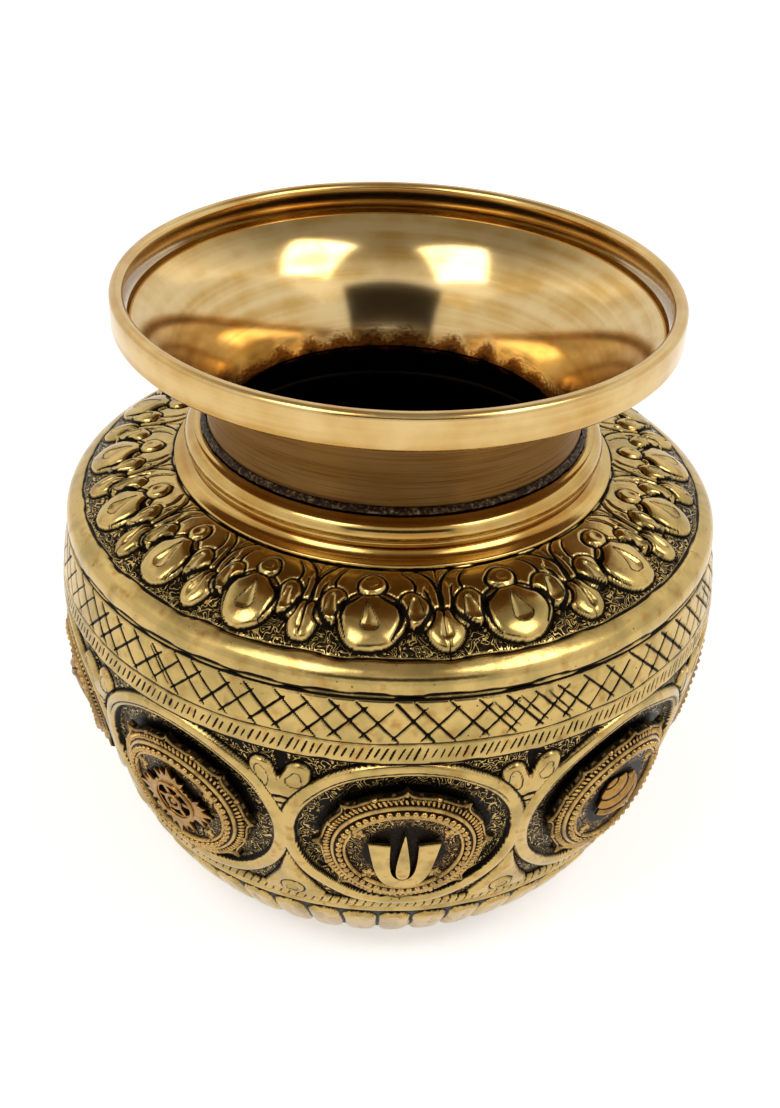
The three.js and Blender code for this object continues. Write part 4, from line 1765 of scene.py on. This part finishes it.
def turned_pieces() -> list[TurnedPiece]:
    """The four turned pieces above the shoulder, from the collar up to the rim.

    Returns:
        The pieces. The corners of each are radius, height and easing.
    """
    collar = TurnedPiece(
        "collar_turned",
        "collar_ring",
        TURNED_COLLAR,
        [
            (36.1, 93.8), (44.8, 93.8, 0.1), (44.8, 94.4, 0.4), (43.3, 94.7), (42.3, 95.2),
            (41.7, 95.9, 0.2), (41.2, 95.5, 0.2), (41.35, 96.3, 0.2), (41.9, 96.6, 0.3),
            (42.0, 97.4, 0.3), (41.6, 97.8, 0.1), (42.45, 98.1, 0.3), (42.55, 99.0),
            (42.3, 99.9), (41.7, 100.7), (40.9, 101.3), (40.5, 101.3, 0.15),
            (39.8, 101.68, 0.2), (36.1, 101.68), (36.1, 98.0),
        ],
        bore=36.5,
        # the collar's bore darkens downwards from this height: amber tarnish at its top, painted
        # shade below
        inner_tarnish_and_shade=(105.4, 8.0),
    )
    seam = TurnedPiece(
        "neck_solder_seam",
        "neck_solder",
        SOLDER,
        [
            (38.2, 101.98), (39.3, 101.98, 0.2), (39.0, 102.5, 0.3),
            (38.5, 102.85, 0.2), (38.2, 103.0),
        ],
        segments=420,
        waver=0.9,
        waves=700.0,
    )
    flare_steps = 18
    outside = bezier([(37.9, 106.5), (38.7, 111.5), (44.0, 119.3), (52.4, 124.18)], flare_steps)
    inside = bezier([(35.4, 103.4), (36.8, 107.0), (42.2, 121.0), (52.4, 125.68)], flare_steps)
    throat = TurnedPiece(
        "neck_and_mouth_turned",
        "neck_and_mouth",
        MIRROR,
        [
            (35.95, 101.98), (37.9, 101.98), (37.9, 105.0),
            *outside,
            *inside[::-1],
            (34.9, 102.2), (34.3, 100.6, 0.2), (34.5, 100.1, 0.2),
            (35.3, 100.2, 0.2), (35.9, 100.9),
        ],
        segments=320,
        bore=37.4,
        # the throat darkens downwards from this height: amber tarnish, then painted shade
        inner_tarnish_and_shade=(105.0, 7.5),
        satin=(101.0, 124.3),
    )
    band = TurnedPiece(
        "rim_band_turned",
        "rim_band",
        SATIN,
        [
            (52.7, 123.88), (54.8, 123.88, 0.5), (55.5, 124.6, 0.5), (55.5, 130.38, 0.6),
            (54.7, 131.08, 0.6), (53.5, 131.08, 0.7), (52.7, 130.3, 0.5),
        ],
        segments=320,
    )
    return [collar, seam, throat, band]


# Medallions and their emblems


def polar(radius: Array, turn: Array, height: Array | float) -> Array:
    """Points at a radius, an angle and a height round Z."""
    across, up = radius * np.cos(turn), radius * np.sin(turn)
    return np.stack(np.broadcast_arrays(across, up, height), axis=-1)


class Emblem(Enum):
    """What stands on a medallion."""

    NAMAM = "namam"
    SHANKHA = "shankha"
    CHAKRA = "chakra"


@dataclass
class Medallion:
    """A cast, cusped disc with rings of rope and beads round a matted field."""

    count: ClassVar[int] = 9
    wall: Wall
    index: int
    outer: float = 17.3
    bay: float = 15.8
    cusps: int = 8
    centre_height: float = 45.4
    tilt: float = 10.5
    stand_off: float = 0.6
    low_set: ClassVar[tuple[int, ...]] = (3, 8)
    lower: float = 0.7
    sunk: float = 2.1
    bend: float = 70.0
    thickness: float = 1.5
    ring_rise: float = 1.6
    field_depth: float = 0.9
    field_radius: float = 11.0
    bead_ring: float = 12.2
    bead_size: float = 0.68
    beads: int = 48
    strands: int = 92
    strand_ring: float = 14.5
    boss: float = 8.0
    columns: int = 320
    rings: int = 64

    def matrix(self) -> Matrix:
        """Where the medallion sits.

        Returns:
            The way from its own frame (X across, Y up, Z out) to its place on the pot.
        """
        height = self.centre_height
        radius = float(np.interp(-height, -self.wall.heights, self.wall.radii))
        front = radius - self.sunk + self.stand_off
        if self.index in self.low_set:
            front -= self.lower
        out = Matrix.Translation(Vector((0, -front, height)) * MM)
        lean = Matrix.Rotation(math.radians(90 + self.tilt), 4, "X")
        side = Matrix.Rotation(2 * math.pi * (self.index - 1) / self.count, 4, "Z")
        return side @ out @ lean

    def curve(self, mesh: Mesh) -> None:
        """Bends a mesh back to the pot's roundness.

        Args:
            mesh: The mesh, flat in the medallion's own frame.
        """
        spots = read(mesh.vertices, "co")
        spots[:, 2] -= spots[:, 0] ** 2 / (2 * self.bend * MM)
        mesh.vertices.foreach_set("co", spots.ravel())

    def rim(self, turn: Array) -> Array:
        """The cusped edge, with one cusp at the top.

        Args:
            turn: Angles round the disc.

        Returns:
            The edge's radius at each.
        """
        share = (turn - math.pi / 2) / (2 * math.pi) * self.cusps
        near = np.abs(share - np.rint(share)) * 2
        point = np.exp(-near / 0.13) - math.exp(-1 / 0.13)
        swell = 0.3 * np.sin(np.clip(near, 0, 1) * math.pi / 2) ** 2
        return self.bay - 0.3 + (self.outer - self.bay + 0.3) * point + swell

    def disc(self) -> Mesh:
        """The disc itself, with a conical boss at its back.

        Returns:
            The disc as a closed mesh.
        """
        turn = (np.arange(self.columns) / self.columns * 2 * math.pi)[None, :]
        rim = self.rim(turn)
        share = np.linspace(0, 1, self.rings + 1)[1:, None]
        # rings are true circles inside and follow the cusps near the edge
        follow = ease((share * self.bay - 14.2) / 1.2)
        radius = share * blend(np.full_like(rim, self.bay), rim, follow)
        relief = self.cast(turn, radius, rim - radius)
        face = polar(radius, turn, relief.height)
        level = np.zeros_like(rim)
        side = [(rim, 1.2), (rim, 0.25), (rim - 0.3, 0.0), (level + self.boss + 1.2, 0.0)]
        side += [(level + self.boss, -0.4), (level + self.boss, -2.0)]
        grid = np.concatenate([face, *(polar(r, turn, z) for r, z in side)])
        poles = [(0, 0, face[0, 0, 2]), (0, 0, -2.0)]
        mesh = mesh_from_grid(f"medallion_{self.index}_disc", grid, poles)
        extra = len(mesh.vertices) - radius.size
        store(mesh, "patina_and_shade", np.concatenate([relief.patina_and_shade.ravel(), np.full(extra, 0.6)]))
        store(mesh, "ground", np.concatenate([relief.ground.ravel(), np.zeros(extra)]))
        return mesh

    def cast(self, turn: Array, radius: Array, inset: Array) -> Relief:
        """The relief of the disc's face.

        Args:
            turn: The angle of each column round the disc.
            radius: The distance of each point from the middle.
            inset: Its distance in from the cusped edge.

        Returns:
            The relief, over the back of the disc.
        """
        relief = Relief(radius.shape, self.thickness)
        top = self.thickness + self.ring_rise
        cone = ease((14.9 - radius) / 2.4)
        relief.height = self.thickness + (top - self.thickness - 0.3) * cone
        relief.wash(np.ones_like(relief.height), 0.8)
        # plain ridge inside the rope, then the channel that the beads lie in
        relief.form(np.abs(radius - 13.45) - 0.3, top - 0.85, 0.45, 0.3, 0.2)
        relief.cut(np.abs(radius - self.bead_ring) - 0.75, 0.25, 0.9)
        field_part = ease((self.field_radius + 0.15 - radius) / 0.3)
        relief.height = blend(relief.height, top - self.field_depth, field_part)
        relief.patina_and_shade *= 1 - field_part
        relief.ground = field_part.copy()
        relief.wash(field_part * ease((9.4 - radius) / 2.4), 0.8)
        relief.form(np.abs(radius - self.field_radius - 0.2) - 0.3, top - 0.6, 0.5, 0.3, 0.2)
        self.flowers(relief, turn, radius)
        # two ridges along the cusped edge, and a rib from each bay towards the rope
        edge = self.thickness - 0.15
        for way_in, half, rise, line in ((0.3, 0.24, 0.42, 0.16), (1.1, 0.16, 0.34, 0.18)):
            relief.form(np.abs(inset - way_in) - half, edge, rise, half, line)
        spoke = ((turn - math.pi / 2) / (2 * math.pi) * self.cusps) % 1 - 0.5
        rib = np.abs(spoke) * 2 * math.pi / self.cusps * radius
        across = np.maximum(rib - 0.45, np.maximum(14.8 - radius, -inset - 0.2))
        relief.form(across, edge, 0.5, 0.45, 0.2)
        return relief

    def flowers(self, relief: Relief, turn: Array, radius: Array) -> None:
        """Raises a few small flowers on the field, beside the emblem.

        Args:
            relief: The relief to work.
            turn: The angle of each column round the disc.
            radius: The distance of each point from the middle.
        """
        across, up = radius * np.cos(turn), radius * np.sin(turn)
        for spot in ((-8.6, 4.6), (8.6, 4.6), (-6.4, -7.4), (6.4, -7.4)):
            reach = np.hypot(across - spot[0], up - spot[1])
            way = np.arctan2(up - spot[1], across - spot[0])
            petals = reach - 1.15 - 0.3 * np.cos(5 * way)
            base = self.thickness + self.ring_rise - self.field_depth
            relief.form(petals, base, 0.35, 0.7, 0.25)
            relief.dent(reach - 0.35, 0.2, 0.3, 0.7)

    def build(self) -> None:
        """Makes the disc with its rings and puts it in the scene."""
        top = self.thickness + self.ring_rise
        values = {
            "Beads": self.beads,
            "Bead Ring": self.bead_ring * MM,
            "Bead Height": (top - 0.5) * MM,
            "Bead Size": self.bead_size * MM,
            "Strands": self.strands,
            "Strand Ring": self.strand_ring * MM,
            "Strand Height": (self.thickness + 0.3) * MM,
            "Strand Size": Vector((0.8, 0.34, 0.42)) * MM,
            "Strand Lean": 0.35,
            "Seed": self.index,
            "Material": CAST.material(),
        }
        name = f"medallion_{self.index}_cast"
        mesh = grow(name, self.disc(), medallion_tree(), values)
        self.curve(mesh)
        mesh.transform(self.matrix())
        place(name, mesh, CAST.material(), CAST.slot, (f"medallion_{self.index}",))


def plate(name: str, outlines: Sequence[Array], thickness: float, easing: float) -> Mesh:
    """A flat cast plate with rounded edges, from closed outlines.

    Args:
        name: The mesh's name.
        outlines: Closed outlines in the plate's plane, in millimetres.
        thickness: How thick it is, from its back at zero.
        easing: The rounding of its edges.

    Returns:
        The plate as a closed mesh.
    """
    curve = bpy.data.curves.new(name, "CURVE")
    curve.dimensions = "2D"
    curve.fill_mode = "BOTH"
    curve.extrude = (thickness / 2 - easing) * MM
    curve.bevel_depth = easing * MM
    curve.bevel_resolution = 3
    curve.offset = -easing * MM
    for outline in outlines:
        spline = curve.splines.new("POLY")
        spline.points.add(len(outline) - 1)
        for point, (x, y) in zip(spline.points, outline):
            point.co = (x * MM, y * MM, 0, 1)
        spline.use_cyclic_u = True
    holder = add_object(name, curve)
    graph = bpy.context.evaluated_depsgraph_get()
    made = bpy.data.meshes.new_from_object(holder.evaluated_get(graph))
    bpy.data.objects.remove(holder)
    close_seams(made)
    made.transform(Matrix.Translation((0, 0, thickness / 2 * MM)))
    return made


def close_seams(mesh: Mesh) -> None:
    """Merges doubled points and turns the faces outwards.

    Args:
        mesh: The mesh.
    """
    work = bmesh.new()
    work.from_mesh(mesh)
    bmesh.ops.remove_doubles(work, verts=work.verts, dist=1e-6)
    bmesh.ops.recalc_face_normals(work, faces=work.faces)
    for face in work.faces:
        face.smooth = True
    work.to_mesh(mesh)
    work.free()
    mesh.set_sharp_from_angle(angle=math.radians(40))


def join_meshes(name: str, parts: Sequence[Mesh]) -> Mesh:
    """Joins meshes, which may lie in each other, into one.

    Args:
        name: The name of the new mesh.
        parts: The meshes.

    Returns:
        The new mesh.
    """
    work = bmesh.new()
    for part in parts:
        work.from_mesh(part)
    mesh = bpy.data.meshes.new(name)
    work.to_mesh(mesh)
    work.free()
    mesh.set_sharp_from_angle(angle=math.radians(40))
    return mesh


def both_sides(half: Array) -> Array:
    """A half outline that ends on the middle line, and then its mirror image back."""
    return np.array([*half, *(half[:-1] * [-1, 1])[::-1]])


def spun(points: Array, angle: float) -> Array:
    """Points of a plane, turned about its middle."""
    c, s = math.cos(angle), math.sin(angle)
    return points @ np.array([[c, s], [-s, c]])


@dataclass
class EmblemPiece:
    """One emblem, cast on its own and set on its medallion's field."""

    medallion: Medallion
    kind: Emblem

    def build(self) -> None:
        """Makes the emblem and puts it in the scene."""
        shapes = (self.namam, self.shankha, self.chakra)
        mesh = dict(zip(Emblem, shapes))[self.kind]()
        m = self.medallion
        seat = m.thickness + m.ring_rise - m.field_depth + 0.3
        mesh.transform(Matrix.Translation((0, 0, seat * MM)))
        m.curve(mesh)
        mesh.transform(m.matrix())
        finish = EMBLEM if self.kind is Emblem.NAMAM else COPPERY
        self.stain(mesh, seat)
        node = f"{self.kind.value}_{m.index}"
        place(f"{node}_cast", mesh, finish.material(), finish.slot, (node,))

    def stain(self, mesh: Mesh, seat: float) -> None:
        """Darkens the emblem's foot and folds, where the buff did not reach.

        Args:
            mesh: The emblem's mesh, in its place.
            seat: The height of its foot in the medallion's own frame.
        """
        turned = np.array(self.medallion.matrix().inverted())
        local = read(mesh.vertices, "co") @ turned[:3, :3].T + turned[:3, 3]
        rise = local[:, 2] / MM - seat
        kept = mesh.attributes.get("folds")
        folds = read(kept.data, "value", 1)[:, 0] if kept else 0.0
        store(mesh, "patina_and_shade", np.maximum(0.9 * (1 - ease(rise / 0.45)), 0.9 * folds))
        store(mesh, "ground", np.zeros(len(mesh.vertices)))

    def namam(self) -> Mesh:
        """Two broad bars that lean in to a joined foot, with a tapering spike between them.

        Returns:
            The emblem, with its back at zero.
        """
        outer = bezier(
            [(-6.9, 3.5), (-6.2, -0.8), (-5.6, -4.6), (-4.9, -9.2), (-3.2, -10.0), (0, -10.0)], 16
        )
        inner = bezier([(-2.6, 3.1), (-2.6, -3.5), (-2.6, -7.7), (0, -7.7)], 10)
        bars = np.array([*both_sides(outer), *both_sides(inner * [-1, 1])])
        spike = bezier([(0, -7.3), (-2.2, -7.3), (-1.5, -4.0), (-0.9, 2.0), (0, 7.4)], 14)
        name = f"namam_{self.medallion.index}"
        parts = [plate(f"{name}_bars", [bars], 1.1, 0.3)]
        parts.append(plate(f"{name}_spike", [both_sides(spike)[:-1]], 1.3, 0.4))
        return join_meshes(name, parts)

    def chakra(self) -> Mesh:
        """A spoked wheel with a flame on each of its four sides.

        Returns:
            The emblem, with its back at zero.
        """
        name = f"chakra_{self.medallion.index}"
        turn = np.linspace(0, 2 * math.pi, 97)[:-1]
        circle = np.stack([np.cos(turn), np.sin(turn)], axis=-1)
        teeth = circle * (5.2 + 0.55 * np.abs(np.cos(12 * turn)))[:, None]
        parts = [plate(f"{name}_rim", [teeth, circle[::2] * 4.1], 0.9, 0.2)]
        parts.append(plate(f"{name}_ring", [circle[::2] * 5.0, circle[::2] * 4.3], 1.3, 0.25))
        parts.append(plate(f"{name}_hub", [circle[::3] * 2.1, circle[::6] * 1.3], 1.3, 0.25))
        parts.append(plate(f"{name}_stud", [circle[::6] * 0.8], 1.2, 0.35))
        spoke = np.array([(1.2, -0.45), (4.6, -0.35), (4.6, 0.35), (1.2, 0.45)])
        for i in range(6):
            parts.append(plate(f"{name}_spoke", [spun(spoke, i * math.pi / 3)], 0.9, 0.2))
        low = bezier([(-2.4, 4.6), (-3.2, 5.8), (-3.4, 6.2), (-3.9, 7.0)], 4)
        mid = bezier([(-2.2, 6.2), (-1.9, 6.6), (-1.9, 7.4), (-2.1, 8.2)], 4)
        tip = bezier([(-0.9, 6.9), (-0.6, 7.4), (-0.3, 8.4), (0, 9.7)], 4)
        flame = both_sides(np.array([*low, *mid, *tip]))
        for i in range(4):
            parts.append(plate(f"{name}_flame", [spun(flame, i * math.pi / 2)], 0.9, 0.15))
        return join_meshes(name, parts)

    def shankha(self) -> Mesh:
        """A conch on its side: a coiled crown, a swollen body and a tapering, open tail.

        Returns:
            The emblem, with its back at zero.
        """
        length, width, tilt, count = 19.0, 11.4, 38.0, 96
        share = np.linspace(0, 1, 97)[1:-1, None]
        turn = (np.arange(count) / count * 2 * math.pi)[None, :]
        along = share * length
        places, swells = (0, 0.05, 0.2, 0.36, 0.55, 0.78, 1), (0, 0.3, 0.7, 1, 0.7, 0.32, 0.08)
        body = np.interp(share, places, swells)
        crown = ease((0.5 - share) / 0.1)
        whorl = np.sin(share * 46 + turn)
        lips = np.sin(turn * 9 + share * 16) * (1 - crown)
        slit = np.exp(-(((turn - 1.25 - 0.5 * share) / 0.2) ** 2)) * (1 - crown)
        radius = width / 2 * body * (1 + 0.09 * whorl * crown + 0.03 * lips - 0.25 * slit)
        folds = np.maximum(np.clip(-whorl, 0, 1) ** 4 * crown, slit)
        folds = np.maximum(folds, np.clip(-lips, 0, 1) ** 4 * 0.6)
        x = radius * np.cos(turn)
        z = np.maximum(radius * np.sin(turn) * 0.46, 0.0)
        top = length * 0.42
        y = np.broadcast_to(top - along, x.shape)
        c, s = math.cos(math.radians(tilt)), math.sin(math.radians(tilt))
        grid = np.stack([c * x - s * y, s * x + c * y, z], axis=-1)
        tail = top - length
        poles = [(-s * top, c * top, 0.0), (-s * tail, c * tail, 0.0)]
        mesh = mesh_from_grid(f"shankha_{self.medallion.index}", grid, poles)
        store(mesh, "folds", np.append(folds.ravel(), [0.0, 0.0]))
        return mesh


# Studio


@dataclass
class Studio:
    """The pale floor, the soft lamps, the cards that the brass mirrors, and the camera.

    Sizes are millimetres, but for the floor's half width, which is metres.
    """

    focal_px: float = 1500.0
    frame_px: float = 1108.0
    sensor: float = 36.0
    spot: tuple[float, float, float] = (-20.3, -269.9, 246.5)
    down_angle: float = 33.48
    yaw: float = 0.06
    roll: float = -2.31
    swing: float = -4.3
    room_light: float = 0.45
    floor_glow: float = 0.5
    floor_half: float = 3.0
    lamp_height: float = 70.0
    card_height: float = 90.0

    def camera(self) -> None:
        """Sets up the camera at the photograph's angle."""
        th, yaw, roll = (math.radians(a) for a in (self.down_angle, self.yaw, self.roll))
        level = math.cos(th)
        forward = np.array([math.sin(yaw) * level, math.cos(yaw) * level, -math.sin(th)])
        right = np.array([math.cos(yaw), -math.sin(yaw), 0.0])
        below = np.cross(forward, right)
        right_rolled = math.cos(roll) * right + math.sin(roll) * below
        below_rolled = -math.sin(roll) * right + math.cos(roll) * below
        turn = Matrix.Rotation(math.radians(self.swing), 3, "Z")
        columns = [turn @ Vector(v) for v in (right_rolled, -below_rolled, -forward)]
        data = bpy.data.cameras.new("camera")
        data.sensor_width = self.sensor
        data.lens = self.sensor * self.focal_px / self.frame_px
        data.clip_start = 0.01
        data.dof.use_dof = False
        pose = Matrix(columns).transposed().to_4x4()
        pose.translation = Vector(self.spot) * MM
        camera = add_object("camera", data)
        camera.matrix_world = pose
        bpy.context.scene.camera = camera

    @staticmethod
    def aim(thing: Object, spot: Floats, height: float) -> None:
        """Hangs a thing so that it faces the pot's axis.

        Args:
            thing: The lamp or card.
            spot: Where it hangs, in millimetres.
            height: At what height it faces the axis.
        """
        thing.location = Vector(spot) * MM
        towards = Vector((0, 0, height)) * MM - thing.location
        thing.rotation_euler = towards.to_track_quat("-Z", "Y").to_euler()

    @staticmethod
    def rectangle(name: str, w: float, h: float) -> Object:
        """Puts a flat rectangle in the scene.

        Args:
            name: Its name.
            w: Its half width, in metres.
            h: Its half height.

        Returns:
            The new object.
        """
        mesh = bpy.data.meshes.new(name)
        mesh.from_pydata([(-w, -h, 0), (w, -h, 0), (w, h, 0), (-w, h, 0)], [], [(0, 1, 2, 3)])
        return add_object(name, mesh)

    def lamp(self, name: str, spot: Floats, size: Floats, radiance: float) -> None:
        """Hangs a soft lamp that faces the pot.

        Args:
            name: Its name.
            spot: Where it hangs, in millimetres.
            size: Its width and height.
            radiance: How bright its face is, where white paper is 1.
        """
        data = bpy.data.lights.new(name, "AREA")
        data.shape = "RECTANGLE"
        data.size, data.size_y = size[0] * MM, size[1] * MM
        data.energy = radiance * math.pi * size[0] * size[1] * MM * MM
        self.aim(add_object(name, data), spot, self.lamp_height)

    def card(self, name: str, spot: Floats, size: Floats, shade: str, fade: float = 0.0) -> None:
        """Stands a dull card round the pot for the brass to mirror. The camera doesn't see it.

        Args:
            name: Its name.
            spot: Where its middle is, in millimetres.
            size: Its width and height.
            shade: Its colour.
            fade: How far from its middle it starts to turn as white as the room, if at all.
        """
        half = size[0] / 2 * MM
        card = self.rectangle(name, half, size[1] / 2 * MM)
        self.aim(card, spot, self.card_height)
        card.visible_camera = False
        card.visible_diffuse = False
        card.visible_shadow = False
        cloth = bpy.data.materials.new(name)
        cloth.use_nodes = True
        shader = cloth.node_tree.nodes["Principled BSDF"]
        shader.inputs["Base Color"].default_value = linear(shade)
        shader.inputs["Roughness"].default_value = 1.0
        if fade:
            add = partial(add_node, cloth.node_tree)
            at = add("ShaderNodeTexCoord").outputs["Object"]
            away = add("ShaderNodeVectorMath", {0: at}, operation="LENGTH").outputs["Value"]
            reach = {"From Min": fade * MM, "From Max": half}
            glow = add("ShaderNodeMapRange", {"Value": away, **reach})
            cloth.node_tree.links.new(glow.outputs[0], shader.inputs["Emission Strength"])
        card.data.materials.append(cloth)
        card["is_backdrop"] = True

    @staticmethod
    def seen(add: Adder) -> Node:
        """A node that is 1 for what the camera sees, straight or in metal or glass.

        Args:
            add: Adds a node to the tree.

        Returns:
            The node.
        """
        path = add("ShaderNodeLightPath")
        last: Any = path.outputs["Is Camera Ray"]
        for kind in ("Is Glossy Ray", "Is Transmission Ray"):
            last = add("ShaderNodeMath", {0: last, 1: path.outputs[kind]}, operation="MAXIMUM")
        return last

    def floor(self) -> None:
        """Lays a white floor that keeps the pot's shadow."""
        floor = self.rectangle("floor", self.floor_half, self.floor_half)
        paper = bpy.data.materials.new("white_paper")
        paper.use_nodes = True
        paper.node_tree.nodes.clear()
        add = partial(add_node, paper.node_tree)
        lit = add("ShaderNodeBsdfDiffuse", {"Color": linear("#F7F6F4"), "Roughness": 1.0})
        seen = {0: self.seen(add), 1: self.floor_glow}
        level = add("ShaderNodeMath", seen, operation="MULTIPLY")
        glow = add("ShaderNodeEmission", {"Color": linear("#FFFFFF"), "Strength": level})
        both = add("ShaderNodeAddShader", {0: lit, 1: glow})
        add("ShaderNodeOutputMaterial", {"Surface": both})
        floor.data.materials.append(paper)
        floor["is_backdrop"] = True

    def world(self) -> None:
        """Surrounds the pot with white, dimmer as light than as what is seen."""
        world = bpy.data.worlds.new("white_room")
        world.use_nodes = True
        world.node_tree.nodes.clear()
        add = partial(add_node, world.node_tree)
        seen = {"Value": self.seen(add), "To Min": self.room_light, "To Max": 1.0}
        level = add("ShaderNodeMapRange", seen)
        glow = add("ShaderNodeBackground", {"Color": linear("#FFFFFF"), "Strength": level})
        add("ShaderNodeOutputWorld", {"Surface": glow})
        bpy.context.scene.world = world

    def build(self) -> None:
        """Sets up the whole studio: two softboxes under a dim ceiling, dark behind the camera."""
        bpy.context.scene.view_settings.view_transform = "Standard"
        self.camera()
        self.floor()
        self.world()
        self.lamp("left_softbox", (-320, -310, 720), (330, 330), 4.7)
        self.lamp("right_softbox", (390, -240, 720), (330, 330), 4.7)
        self.card("ceiling", (0, 0, 1300), (3400, 3400), "#D8D2C8", fade=650)
        self.card("camera_side", (0, -760, 540), (860, 330), "#241910")
        self.card("stand_left", (-330, -720, 330), (30, 620), "#14110E")
        self.card("stand_right", (350, -700, 330), (30, 620), "#14110E")


@dataclass
class Kalash:
    """The whole pot. The belly is two bands, which meet at a middle distance down."""

    wall: Wall = field(default_factory=Wall)
    mid: float = 62.5

    def build(self) -> None:
        """Builds every piece in order."""
        wall = self.wall
        HatchedBand(wall).build()
        Belt(wall, "bowl_upper_belt", HatchedBand.bottom, self.mid).build()
        Belt(wall, "bowl_lower_belt", self.mid, RopeBorder.top).build()
        RopeBorder(wall).build()
        LotusSkirt(wall).build()
        Shoulder(wall).build()
        for piece in turned_pieces():
            piece.build()
        kinds = list(Emblem)
        for index in range(1, Medallion.count + 1):
            medallion = Medallion(wall, index)
            medallion.build()
            EmblemPiece(medallion, kinds[(index - 1) % len(kinds)]).build()


def sizes() -> list[list[float]]:
    """The lowest and highest corners of what stands in the scene now."""
    return [list(corner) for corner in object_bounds()]


def main() -> None:
    """Loads the frame and builds the pot and its studio round it."""
    logging.basicConfig(level=logging.INFO, format="%(name)s: %(message)s")
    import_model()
    Kalash().build()
    Studio().build()


if __name__ == "__main__":
    main()
